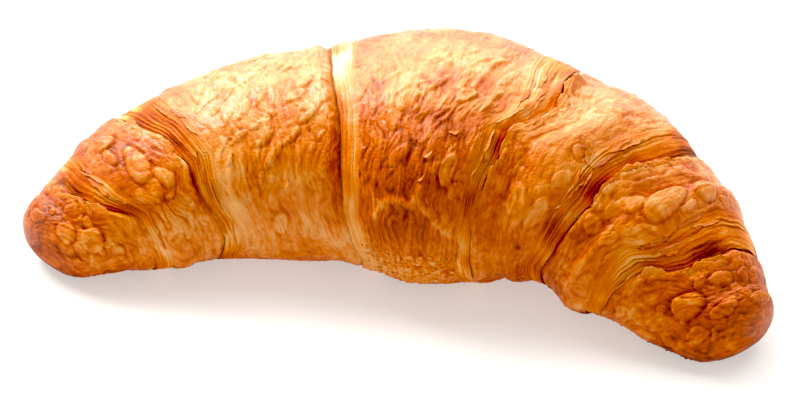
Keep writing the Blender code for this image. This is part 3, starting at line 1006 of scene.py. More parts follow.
            # painted shade behind the edges of the layers
            gap = np.maximum(gap, 0.4 * crisp * leaves.painted_shadow * open_ * (1 - rolled))
        if inner:
            own = grain[0] + 50
            ragged = self.torn(own, self.LIP_TEARS)
            past = rows.lip - 0.3 - ragged
            share = smooth_step(-0.3, inner.rise, past)
            flaky = smooth_step(*self.FLAKY_FROM, surface.angle)
            flaky = flaky * (1 - smooth_step(*self.FLAKY_TO, surface.angle))
            proud = np.clip(0.6 + 1.1 * self.broad.at(points, 5.0), 0, 1.8) * (0.35 + 0.65 * flaky)
            lift = lift * smooth_step(0, 2, rows.lip) - surface.depth * (1 - share)
            torn_lip = flaky * bell(past - inner.rise - 0.6, 1.3) * min(1, 2 * inner.rim)
            lift = lift + 0.1 * torn_lip * self.fine.rough(points, 1.3, 2)
            lift = lift + inner.rim * bell(past - inner.rise - 0.2, 0.7) * proud
            # painted shade in the groove that the lip rises out of
            closed = min(1, 0.3 + inner.groove) * (1 - 0.9 * inner.shut(surface.angle))
            gap = np.maximum(gap, closed * (1 - smooth_step(-0.3, 0.2 + 0.2 * inner.rise, past)))
            pale = bell(past - inner.rise, 0.5) * proud
            for place in self.TORN_LAYERS:
                torn = place + self.torn(own + 7 * place, self.LONG_TEARS)
                torn = rows.lip - torn - self.torn(own + 3 * place, self.SHORT_TEARS)
                layer = proud * inner.rim * flaky
                stands = smooth_step(*self.TORN_EDGE, torn) - smooth_step(*self.TORN_SLOPE, torn)
                lift = lift + 0.5 * layer * stands
                pale = pale + 0.8 * bell(torn - 0.15, 0.25) * layer
            pale = np.clip(pale * min(1, 2 * inner.rim), 0, 1.2)
            brown = brown - 0.24 * pale - 0.2 * torn_lip * (0.6 + 0.8 * self.wobbly.at(points, 1.4))
            cut = np.maximum(cut, 0.6 * np.clip(pale, 0, 1))
        brown = brown + 0.3 * self.marked(Mark.DARK, points) - 0.35 * self.marked(Mark.PALE, points)
        brown = brown + folds_bake
        brown = brown + under * 0.1 + crumbly * 0.3 * self.fine.at(points, 0.9)
        least, most = self.BAKES
        brown = np.clip(brown, least * smooth_step(*self.LEAST_BAKED, surface.angle), most)
        cut = np.clip(cut + 0.5 * crumbly, 0, 1)
        gap = np.clip(gap, 0, 1)
        brushed = 1 - 0.5 * smooth_step(*self.HALF_BRUSHED, surface.angle)
        brushed = brushed - 0.5 * smooth_step(*self.UNBRUSHED, surface.angle)
        brushed = brushed + smooth_step(*self.BRUSHED, surface.angle)
        brushed = brushed * (1 - 0.25 * smooth_step(*self.DULL_HORNS, np.abs(surface.along)))
        brushed = brushed * (1 - 0.5 * smooth_step(*self.DULL_BAKES, brown))
        wash = brushed * (1 - 0.6 * cut) * np.clip(1 - 2 * gap, 0, 1)
        return Dressing(lift, slide, brown, cut, gap, wash)


@dataclass
class Segment:
    """One visible turn of the dough, as its own closed piece of crust."""

    name: str
    roll: Roll
    outer: dict[Side, Seam] = field(default_factory=dict)  # its cut edges
    inner: Seam | None = None  # the seam that it comes out of
    side: Side = Side.RIGHT
    crown: float = 1.0  # how far the middle of its dome stands out
    foot: float = 0.0  # how far its front foot stands out further
    bake: float = 0.5
    above: float = 0.0  # how far that foot stands out beyond its neighbour's
    step: float = 0.36  # spacing of the mesh on the dome
    fine_step: float = 0.26  # and on cut edges and lips
    tuck: float = 8.0  # how far it reaches under its neighbour
    lip_reach: float = 5.0
    hidden: float = -0.42  # where it hides under its neighbour, in half widths
    edge_foot: float = 1.6
    blend: float = 9.0  # over how far a foot that stands out rises to its own level

    FOOT_ANGLES = (150, 205, 245, 300)
    UNDERSIDE = (238, 302)
    UNDERSIDE_SHARE = 0.4  # how dense the mesh is underneath, against elsewhere

    def angles(self) -> Array:
        """Angles round the roll, closer together where the segment shows."""
        middle = self.middle_place()
        girth = math.tau * self.roll.radius(np.array(middle))
        even = np.linspace(0, 360, 3600, endpoint=False)
        low, high = self.UNDERSIDE
        weight = np.where((even > low) & (even < high), self.UNDERSIDE_SHARE, 1.0)
        passed = np.cumsum(weight) / weight.sum()
        count = round(girth / self.step * weight.mean())
        return np.interp((np.arange(count) + 0.5) / count, passed, even)

    def middle_place(self) -> float:
        """Roughly where along the spine the segment's middle lies."""
        if self.inner is None:
            return 0.0
        ends = [self.inner.at_front]
        ends.append(self.outer[self.side].at_front if self.outer else self.inner.at_back)
        return self.side.value * sum(ends) / 2

    def reach(self) -> tuple[float, float]:
        """Where along the spine the segment starts and ends, roughly."""
        if self.inner is None:
            return -self.outer[Side.LEFT].at_back, self.outer[Side.RIGHT].at_back
        ends = [self.inner.at_front, self.outer[self.side].at_back if self.outer else self.roll.along[-1]]
        start, end = sorted(self.side.value * place for place in ends)
        return start, end

    def foot_share(self, angle: Array) -> Array:
        """How much of the front foot's form an angle has, from 0 to 1."""
        start, full, fades, end = self.FOOT_ANGLES
        return smooth_step(start, full, angle) * (1 - smooth_step(fades, end, angle))

    def edge_rows(self, seam: Seam, angle: Array) -> Rows:
        """Rows down a cut edge, and in under it to the spine."""
        place, band = seam.place(angle), seam.width(angle)
        fall = seam.falls(angle)
        count = round(seam.band / self.fine_step)
        share = np.linspace(0, 1, count + 1)[1:, None]
        down = Rows.of(place - band * (1 - share), -fall * share**seam.curve, share, Rows.FAR)
        hidden = np.minimum(self.hidden * self.roll.section(place)[0], -fall - 3 * seam.groove)
        back = np.array([0.3, 0.6, 1.0])[:, None]
        under = Rows.of(place - self.edge_foot * back, -fall + (hidden + fall) * back, 1.0, Rows.FAR)
        return Rows.joined([down, under])

    def lip_rows(self, seam: Seam, angle: Array) -> Rows:
        """Rows from under the neighbour, out through the groove, to where the dome starts."""
        place = seam.place(angle)
        depth = seam.depth(angle)
        hidden = self.hidden * self.roll.section(place)[0]
        inwards = np.array([1.0, 0.6, 0.3])[:, None]
        back = place - self.tuck * inwards
        start = Rows.of(back, (hidden + depth) * inwards**2, -Rows.FAR, -1.5)
        beyond = np.arange(-1.5, self.lip_reach + 2.0, self.fine_step)[:, None]
        out = Rows.of(place + beyond, np.zeros_like(place), -Rows.FAR, beyond)
        return Rows.joined([start, out])

    def dome_rows(self, start: Array, end: Array, closing: bool) -> Rows:
        """Rows over a dome between two places.

        Args:
            start: Where it starts, by angle.
            end: Where it ends.
            closing: Whether the rows crowd together towards the end, at a horn's tip.

        Returns:
            The rows.
        """
        count = max(8, round(float(np.max(end - start)) / self.step))
        share = (np.arange(count) + 1)[:, None] / (count + 1)
        if closing:
            share = np.sin(math.pi / 2 * share)
        away = start + (end - start) * share
        return Rows.of(away, self.crown * 4 * share * (1 - share), -Rows.FAR, Rows.FAR)

    def surface(self) -> Surface:
        """The segment's surface before its relief."""
        angle = self.angles()
        if self.inner is None:
            left = self.edge_rows(self.outer[Side.LEFT], angle).mirrored()
            right = self.edge_rows(self.outer[Side.RIGHT], angle)
            dome = self.dome_rows(left.away[-1], right.away[0], closing=False)
            to_left = (left.away[-1] - dome.away) / self.outer[Side.LEFT].width(angle)
            to_right = (dome.away - right.away[0]) / self.outer[Side.RIGHT].width(angle)
            dome.band = np.maximum(to_left, to_right)
            rows, side = Rows.joined([left, dome, right]), 1
        else:
            side = self.side.value
            lip = self.lip_rows(self.inner, angle)
            if self.outer:
                edge = self.edge_rows(self.outer[self.side], angle)
                dome = self.dome_rows(lip.away[-1], edge.away[0], closing=False)
                dome.band = (dome.away - edge.away[0]) / self.outer[self.side].width(angle)
                rows = Rows.joined([lip, dome, edge])
            else:
                tip = np.full_like(angle, abs(self.roll.along[0 if side < 0 else -1]) - 0.02)
                rows = Rows.joined([lip, self.dome_rows(lip.away[-1], tip, closing=True)])
        foot = self.foot_share(angle)
        rows.lift = rows.lift + self.foot * foot
        if self.inner:
            beyond = rows.away - self.inner.place(angle)
            rows.lift = rows.lift - self.above * foot * (1 - smooth_step(0, self.blend, beyond))
        along = side * rows.away
        spread = np.broadcast_to(angle, along.shape)
        across = np.broadcast_to(rows.away.mean(axis=1, keepdims=True), along.shape)
        radius = self.roll.radius(side * across)
        turn = np.radians(spread)
        grain = np.stack([side * across, np.cos(turn) * radius, np.sin(turn) * radius], -1)
        points = self.roll.at(along, spread, rows.lift)
        falls = {side: seam.falls(angle) for side, seam in self.outer.items()}
        depth = self.inner.depth(angle) if self.inner else np.zeros_like(angle)
        return Surface(along, spread, rows, points, grain, depth, falls, self.inner is None)

    def build(self, skin: Skin, shift: Array) -> tuple[bpy.types.Object, Shell]:
        """The segment's mesh with its relief and colour fields.

        Args:
            skin: The relief of the whole crust.
            shift: From the roll's middle to the frame's origin.

        Returns:
            The new object, and its surface.
        """
        surface = self.surface()
        dressing = skin.dress(surface, self.outer, self.inner, self.bake)
        lift = surface.rows.lift + dressing.lift
        points = self.roll.at(surface.along + dressing.slide, surface.angle, lift)
        points[..., 2] = rested(points[..., 2])
        side = 1 if self.inner is None else self.side.value
        ends = [self.roll.spine_point(side * float(surface.rows.away[row].mean())) for row in (0, -1)]
        if self.inner and not self.outer:
            ends[1] = points[-1].mean(axis=0)
        mesh = closed_mesh(self.name, points + shift, np.array(ends) + shift)
        for name in ("bake", "cut", "gap", "wash"):
            write_field(mesh, name, with_ends(getattr(dressing, name)[..., None]))
        write_field(mesh, "grain", with_ends(surface.grain))
        thing = bpy.data.objects.new(self.name, mesh)
        bpy.context.scene.collection.objects.link(thing)
        return thing, Shell(surface.along, surface.angle, lift)


def rested(height: Array) -> Array:
    """Heights pressed flat where they would reach below the surface that the croissant rests on."""
    soft = 0.5  # the height below which they are pressed together
    return np.where(height > soft, height, soft * np.exp((height - soft) / soft))


def closed_mesh(name: str, grid: Array, ends: Array) -> bpy.types.Mesh:
    """A closed mesh through a grid of points that goes round, with a point at each end.

    Args:
        name: The mesh's name.
        grid: The points in millimetres, by row and by place round it.
        ends: The two end points.

    Returns:
        The mesh, in metres.
    """
    rows, columns = grid.shape[:2]
    points = with_ends(grid, ends)
    index = np.arange(rows * columns).reshape(rows, columns)
    after = np.roll(index, -1, axis=1)
    quads = np.stack([index[:-1], after[:-1], after[1:], index[1:]], -1).reshape(-1, 4)
    first = np.stack([after[0], index[0], np.full(columns, rows * columns)], -1)
    last = np.stack([index[-1], after[-1], np.full(columns, rows * columns + 1)], -1)
    inside_out = np.linalg.det(points[quads[:, :3]] - points[:-2].mean(axis=0)).sum() < 0
    if inside_out:
        quads, first, last = quads[:, ::-1], first[:, ::-1], last[:, ::-1]
    return make_mesh(name, points, [quads, first, last])


def with_ends(grid: Array, ends: Array | None = None) -> Array:
    """A grid's values in one row each, followed by those of its two end points.

    Args:
        grid: Values by row and by place round the grid.
        ends: The end points' values, or None for the means of the end rows.

    Returns:
        The values.
    """
    if ends is None:
        ends = np.array([grid[row].mean(axis=0) for row in (0, -1)])
    return np.concatenate([grid.reshape(-1, grid.shape[-1]), ends])


def make_mesh(name: str, points: Array, faces: list[Array]) -> bpy.types.Mesh:
    """A mesh with smooth shading.

    Args:
        name: The mesh's name.
        points: Its points in millimetres.
        faces: Its faces, in groups with the same number of corners.

    Returns:
        The mesh, in metres.
    """
    corners = np.concatenate([group.ravel() for group in faces])
    sizes = np.concatenate([np.full(len(group), group.shape[1]) for group in faces])
    mesh = bpy.data.meshes.new(name)
    mesh.vertices.add(len(points))
    mesh.vertices.foreach_set("co", (points * MM).astype(np.float32).ravel())
    mesh.loops.add(len(corners))
    mesh.loops.foreach_set("vertex_index", corners.astype(np.int32))
    mesh.polygons.add(len(sizes))
    starts = np.concatenate([[0], np.cumsum(sizes)[:-1]])
    mesh.polygons.foreach_set("loop_start", starts.astype(np.int32))
    mesh.update(calc_edges=True)
    mesh.validate()
    mesh.shade_smooth()
    return mesh


def write_field(mesh: bpy.types.Mesh, name: str, values: Array) -> None:
    """Stores a field on a mesh, for the material to read.

    Args:
        mesh: The mesh.
        name: The field's name.
        values: The field by point, with one column or three.
    """
    kind, key = ("FLOAT", "value") if values.shape[1] == 1 else ("FLOAT_VECTOR", "vector")
    attribute = mesh.attributes.new(name, kind, "POINT")
    attribute.data.foreach_set(key, values.astype(np.float32).ravel())


@dataclass
class Shell:
    """A segment's finished surface, which smaller pieces lie on."""

    along: Array
    angle: Array
    lift: Array

    def lift_at(self, along: Array, angle: Array) -> Array:
        """How far the surface stands out of the plain roll.

        Args:
            along: Places along the spine.
            angle: Their angles round the roll.

        Returns:
            The lift at each place.
        """
        side = 1 if self.along[-1, 0] > self.along[0, 0] else -1
        columns = np.interp(angle % 360, self.angle[0], np.arange(self.angle.shape[1]))
        columns = np.round(columns).astype(int)
        lifts = [
            np.interp(side * place, side * self.along[:, column], self.lift[:, column])
            for place, column in zip(along.ravel(), columns.ravel())
        ]
        return np.array(lifts).reshape(along.shape)


@dataclass
class Loose:
    """The mesh of a small loose piece before it joins the others of its kind."""

    points: Array
    faces: Array
    grain: Array
    bake: Array

    @staticmethod
    def joined(name: str, pieces: list[Loose], cut: float, shift: Array) -> bpy.types.Object:
        """One object made of many pieces.

        Args:
            name: The object's name.
            pieces: The pieces.
            cut: How much they look like cut layers.
            shift: From the roll's middle to the frame's origin.

        Returns:
            The new object.
        """
        starts = np.cumsum([0] + [len(piece.points) for piece in pieces[:-1]])
        points = np.concatenate([piece.points for piece in pieces])
        faces = np.concatenate([piece.faces + start for piece, start in zip(pieces, starts)])
        points[:, 2] = rested(points[:, 2])
        mesh = make_mesh(name, points + shift, [faces])
        write_field(mesh, "bake", np.concatenate([piece.bake for piece in pieces])[:, None])
        write_field(mesh, "cut", np.full((len(points), 1), cut))
        write_field(mesh, "gap", np.zeros((len(points), 1)))
        write_field(mesh, "wash", np.full((len(points), 1), 1 - cut))
        write_field(mesh, "grain", np.concatenate([piece.grain for piece in pieces]))
        thing = bpy.data.objects.new(name, mesh)
        bpy.context.scene.collection.objects.link(thing)
        return thing


@dataclass(frozen=True)
class Flake:
    """A thin sheet of pastry that is fast along one edge and stands up at the other."""

    along: float  # where the middle of its fast edge is
    angle: float
    turn: float  # which way its free edge points: 0 to the right horn, 90 down the front
    reach: float  # from its fast edge to its free one
    width: float
    rise: float  # how far its free edge stands up
    bake: float = 0.3

    ROWS = 7
    COLUMNS = 11
    THICKNESS = 0.12
    SUNK = 0.15  # how deep its fast edge lies in the crust
    TEAR_SPACING = 1.8
    CORNERS = 0.65  # how much shorter it is at its sides
    TORN = 0.45  # how far its free edge strays, as a share of its reach
    NARROWS = 0.15  # how much narrower it is there
    RISE_LATE = 1.5  # how late it rises: 1 is straight, and more is later
    RISE_VARIES = 0.5
    FAST_BAKE = 0.15  # how much browner its fast edge is

    def build(self, roll: Roll, shell: Shell, noise: Noise) -> Loose:
        """The sheet.

        Args:
            roll: The roll that it lies on.
            shell: The surface that it is fast to.
            noise: What makes it ragged.

        Returns:
            The sheet.
        """
        away, across = np.meshgrid(
            np.linspace(0, 1, self.ROWS), np.linspace(-1, 1, self.COLUMNS), indexing="ij"
        )
        place = np.stack([across * self.width / 2, away, away * 0 + self.along], -1)
        ragged = noise.rough(place, self.TEAR_SPACING, 2)
        length = self.reach * (1 - self.CORNERS * np.abs(across) ** 2 + self.TORN * ragged)
        ahead = length * away
        sideways = self.width / 2 * across * (1 - self.NARROWS * away)
        turn = math.radians(self.turn)
        radius = roll.radius(np.array(self.along))
        along = self.along + ahead * math.cos(turn) - sideways * math.sin(turn)
        angle = self.angle + np.degrees((ahead * math.sin(turn) + sideways * math.cos(turn)) / radius)
        lift = shell.lift_at(along[0], angle[0]) - self.SUNK * (1 - away)
        lift = lift + self.rise * away**self.RISE_LATE * (1 + self.RISE_VARIES * ragged)
        sheets = [roll.at(along, angle, lift + self.THICKNESS), roll.at(along, angle, lift)]
        points = np.concatenate([sheet.reshape(-1, 3) for sheet in sheets])
        index = np.arange(self.ROWS * self.COLUMNS).reshape(self.ROWS, self.COLUMNS)
        corners = [index[:-1, :-1], index[:-1, 1:], index[1:, 1:], index[1:, :-1]]
        top = np.stack(corners, -1).reshape(-1, 4)
        rim = np.concatenate([index[0, :-1], index[:-1, -1], index[-1, :0:-1], index[:0:-1, 0]])
        after = np.roll(rim, -1)
        side = np.stack([rim, rim + index.size, after + index.size, after], -1)
        faces = np.concatenate([top, top[:, ::-1] + index.size, side])
        turned = np.radians(angle)
        grain = np.stack([along, np.cos(turned) * radius, np.sin(turned) * radius], -1).reshape(-1, 3)
        bake = np.tile((self.bake + self.FAST_BAKE * (1 - away)).ravel(), 2)
        return Loose(points, faces, np.concatenate([grain, grain]), bake)


@dataclass(frozen=True)
class Crumb:
    """A crumb that sticks to the crust."""

    along: float
    angle: float
    size: float
    bake: float

    SUNK = 0.3  # how deep it lies in the crust, as a share of its size
    UNEVEN = 0.5
    UNEVEN_SPACING = 0.7
    FLATNESS = (1, 1, 0.8)

    def build(self, roll: Roll, shell: Shell, ball: tuple[Array, Array], noise: Noise) -> Loose:
        """The crumb.

        Args:
            roll: The roll that it lies on.
            shell: The surface that it sticks to.
            ball: Points and faces of a ball.
            noise: What makes it uneven.

        Returns:
            The crumb.
        """
        points, faces = ball
        spot, axes = roll.axes(self.along, self.angle)
        lift = shell.lift_at(np.array([self.along]), np.array([self.angle]))[0]
        middle = roll.at(np.array(self.along), np.array(self.angle), lift)
        middle = middle - axes[2] * self.SUNK * self.size
        uneven = 1 + self.UNEVEN * noise.at(points + spot, self.UNEVEN_SPACING)
        placed = middle + points * self.size / 2 * uneven[:, None] * np.array(self.FLATNESS)
        return Loose(placed, faces, placed, np.full(len(points), self.bake))


@dataclass(frozen=True)
class CrumbField:
    """Crumbs strewn over a stretch of the crust."""

    count: int
    along: tuple[float, float]
    angle: tuple[float, float]
    size: tuple[float, float]
    bake: tuple[float, float]

    def crumbs(self, random: np.random.Generator) -> list[Crumb]:
        """Draws the crumbs."""
        limits = (self.along, self.angle, self.size, self.bake)
        return [Crumb(*(random.uniform(*pair) for pair in limits)) for _ in range(self.count)]


@dataclass
class Croissant:
    """The whole croissant."""

    roll: Roll = field(default_factory=Roll)
    left_inner: Seam = Seam(
        at_back=19.5, at_front=13, swings_from=75, swings_to=230, band=6, front_band=6,
        fall=1.8, groove=0.35, layers=10, leaf=0.14, bake=0.33, rim=0.14, rise=3.0, curve=3.0,
        shuts=165,
        nudges=(
            (60, 0), (100, -0.6), (121, -2), (145, -0.9), (173, 0), (191, -1.8), (208, -4.2),
            (250, -2), (300, 0),
        ),
        seed=1,
    )
    left_middle: Seam = Seam(
        at_back=68, at_front=52, swings_from=30, swings_to=175, band=9.5, front_band=6,
        fall=2.5, groove=0.45, layers=12, leaf=0.32, bake=0.56, rim=0.36, flakes=8,
        shuts=160,
        nudges=(
            (60, 0), (90, 0.7), (112, 0.5), (130, -0.6), (146, 1), (161, 0.5), (190, -4),
            (250, -2), (300, 0),
        ),
        seed=2,
    )
    left_outer: Seam = Seam(
        at_back=82.5, at_front=66.5, swings_from=65, swings_to=215, band=6, front_band=5,
        fall=1.8, groove=0.15, layers=8, leaf=0.3, bake=0.54, rim=0.3, flakes=6,
        shuts=150, opens=72,
        nudges=((60, 0), (105, 1.4), (129, 2.3), (144, 0.5), (156, -1), (196, 0)),
        seed=3,
    )
    right_inner: Seam = Seam(
        at_back=33.8, at_front=23.2, swings_from=85, swings_to=160, band=9, front_band=5,
        fall=2.6, groove=0.7, layers=11, leaf=0.26, bake=0.43, rim=0.34, flakes=12,
        shuts=142, opens=86,
        nudges=(
            (60, 0), (85, 1.4), (102, 3.5), (112, 3), (123, 0.5), (134, 2.3), (153, 3), (180, 2),
            (250, 1), (300, 0),
        ),
        seed=4,
    )
    right_middle: Seam = Seam(
        at_back=61.2, at_front=43, swings_from=55, swings_to=230, band=8, front_band=6,
        fall=2.4, groove=0.35, layers=12, leaf=0.32, bake=0.56, rim=0.36, flakes=9,
        shuts=168,
        nudges=((78, 0), (107, -0.4), (124, 0.4), (136, 1.9), (173, 1.7), (194, 0)),
        seed=5,
    )
    right_outer: Seam = Seam(
        at_back=79.8, at_front=62, swings_from=75, swings_to=240, band=8.5, front_band=5.5,
        fall=1.6, groove=0.1, layers=11, leaf=0.28, bake=0.6, rim=0.26, flakes=7,
        shuts=158,
        nudges=((30, 1), (81, 0), (119, 1.9), (131, 2.1), (143, 0), (189, 0.7), (210, 0)),
        seed=6,
    )
    # Along, angle, length, width, tilt, height and, where given, taper.
    blisters: tuple[Blister, ...] = (
        Blister(-90.4, 78, 6.2, 2.8, -2, 0.7),
        Blister(-88.6, 133, 5.6, 4.4, 8, 0.8, ragged=0.6, pale=0.3),
        Blister(-83.6, 153, 6.4, 6.0, 48, 1.0, 0.25, ragged=0.5, pale=0.35),
        Blister(-84.9, 114, 5.4, 2.7, 28, 0.7, ragged=0.6, pale=0.2),
        Blister(-72.9, 84, 6.2, 4.8, 52, 1.0, ragged=0.6, pale=0.2),
        Blister(-73.1, 101, 6.4, 2.6, 21, 0.8, pale=0.3),
        Blister(-67.9, 117, 11.8, 5.2, 12, 1.1, 0.35, ragged=0.35, pale=0.3),
        Blister(-62.1, 134, 6.4, 3.6, 24, 0.65, 0.3, ragged=0.9),
        Blister(-39, 87, 5.7, 4.0, -70, 0.45, pale=0.3),
        Blister(-32.8, 181, 6.6, 3.4, -11, 0.3, form=BlisterForm.RIMMED, ragged=0.5, pale=0.3),
        Blister(1.8, 116, 8.8, 4.8, -22, 0.5, pale=0.2),
        Blister(16.9, 145, 8.0, 3.6, -19, 0.5, form=BlisterForm.RIMMED, ragged=0.5, pale=0.14),
        Blister(16.2, 111, 4.8, 4.4, -80, 0.5, form=BlisterForm.RIMMED, ragged=1.6, pale=0.5),
        Blister(36.9, 154, 7.4, 4.3, -4, 0.35, form=BlisterForm.RIMMED, ragged=0.7, pale=0.28),
        Blister(42.8, 156, 9.2, 3.6, -14, 0.4, form=BlisterForm.RIMMED, ragged=0.6, pale=0.32),
        Blister(48.3, 117, 4.8, 3.4, -50, 0.8, form=BlisterForm.RIMMED, ragged=0.8, pale=0.5),
        Blister(63.6, 119, 7.5, 3.8, -22, 0.55, 0.3, ragged=1.1, pale=0.1),
        Blister(67.9, 101, 13, 5.6, -4, 1.1, 0.35, ragged=0.35, pale=0.4),
        Blister(69.6, 70, 6.2, 4.8, -32, 0.9, ragged=0.5, pale=0.1),
        Blister(70.8, 88, 4.9, 2.3, -3, 0.6, pale=0.5),
        Blister(84.9, 142, 7.9, 5.4, -22, 1.0, 0.2, ragged=0.5, pale=0.3),
        Blister(85.0, 97, 5.6, 3.5, -20, 0.7, ragged=0.7, pale=0.2),
        Blister(90.2, 116, 7.4, 3.4, -10, 0.7, pale=0.15),
        Blister(90.4, 57, 7.4, 2.7, 12, 0.7),
        Blister(-56.4, 162, 5.1, 1.6, -31, 0.4),
        Blister(-82.8, 136, 3.8, 2.2, 4, 0.6),
        Blister(-85.8, 88, 4.2, 2, -14, 0.5),
        Blister(-80.9, 72, 7.6, 2.3, 10, 0.5),
        Blister(58.8, 143, 4.2, 4.8, -63, 0.4),
        Blister(83.7, 118, 4.3, 2.2, 7, 0.6),
        Blister(85.4, 70, 3, 3.5, -10, 0.5),
        Blister(80.4, 164, 2.4, 1.7, -33, 0.4),
        Blister(46.8, 134, 5.4, 3.3, -24, 0.6, ragged=0.7, pale=0.3),
        Blister(-34, 118, 3.7, 2.4, -46, 0.4),
        Blister(-41.7, 126, 3.6, 2, -71, 0.4),
        Blister(-27.5, 108, 5.4, 2.6, -43, 0.4),
    )
    # Places, and where given width, height and bake.
    wrinkles: tuple[Wrinkle, ...] = (
        Wrinkle(((10, 82), (12.4, 100))),
        Wrinkle(((6.8, 108), (9.2, 92))),
        Wrinkle(
            ((9.9, 154), (9.1, 159), (8.4, 162), (5.1, 161), (1.9, 161), (-1.2, 164), (-4.0, 170)),
            0.9,
            0.75,
            -0.2,
        ),
        Wrinkle(((9.1, 159), (12.5, 165), (16.1, 172), (19.5, 178)), 0.9, 0.7, -0.2),
        Wrinkle(((-5.9, 157), (-4.0, 162), (-1.2, 164)), 0.8, 0.55, -0.12),
        Wrinkle(((1, 168), (2, 161)), 0.7, 0.6, -0.12),
        Wrinkle(
            (
                (36.4, 74), (35.4, 84), (35.0, 91), (33.9, 98), (32.6, 104), (31.1, 108),
                (29.8, 116), (28.2, 123),
            ),
            2.2,
            2.2,
            0.16,
        ),
        Wrinkle(((19.8, 70), (19.2, 86), (17.4, 104)), 0.9, 0.5),
        Wrinkle(((23.0, 100), (21.5, 122), (20.2, 142), (19.4, 158)), 1.0, 0.4),
        Wrinkle(((14.6, 96), (13.4, 112), (13.8, 128)), 0.8, 0.35),
        Wrinkle(((3.5, 124), (2.6, 136), (3.6, 148)), 0.7, 0.3),
        Wrinkle(((-2.0, 118), (-3.4, 132), (-3.2, 146)), 0.7, 0.3),
        Wrinkle(((-9.5, 118), (-10.4, 136), (-9.8, 152)), 0.7, 0.3),
    )
    # Count, and the ranges of along, angle, length, slimness, height and tilt.
    fields: tuple[BlisterField, ...] = (
        BlisterField(26, (-92, -76), (50, 190), (2.5, 6.5), (0.4, 0.75), (0.2, 0.5), (-30, 50)),
        BlisterField(30, (-76, -54), (60, 205), (2.0, 6.5), (0.3, 0.6), (0.1, 0.32), (-20, 45)),
        BlisterField(62, (-50, -16), (62, 152), (3.4, 8.5), (0.2, 0.38), (0.25, 0.55), (-58, -18)),
        BlisterField(30, (-50, -16), (60, 170), (1.6, 4.0), (0.3, 0.5), (0.12, 0.3), (-60, -12)),
        BlisterField(60, (-14, 24), (60, 158), (3.2, 8.5), (0.2, 0.42), (0.22, 0.52), (-50, 5)),
        BlisterField(36, (-14, 24), (45, 172), (1.6, 4.0), (0.3, 0.5), (0.12, 0.3), (-55, 15)),
        BlisterField(50, (28, 54), (50, 160), (2.0, 7.5), (0.2, 0.42), (0.08, 0.26), (-60, -10)),
        BlisterField(40, (50, 76), (50, 205), (2.0, 6.5), (0.25, 0.6), (0.1, 0.3), (-60, 10)),
        BlisterField(60, (-50, -16), (-50, 60), (2.0, 6.5), (0.25, 0.5), (0.12, 0.35), (-60, 10)),
        BlisterField(60, (-14, 28), (-50, 50), (2.0, 6.5), (0.25, 0.5), (0.1, 0.35), (-60, 10)),
        BlisterField(60, (34, 80), (-50, 55), (2.0, 6.5), (0.25, 0.55), (0.12, 0.35), (-60, 10)),
        BlisterField(30, (-84, -54), (-50, 60), (2.0, 6.0), (0.3, 0.6), (0.12, 0.35), (-20, 40)),
        BlisterField(32, (70, 92), (45, 195), (2.5, 6.5), (0.35, 0.75), (0.2, 0.5), (-50, 20)),
    )
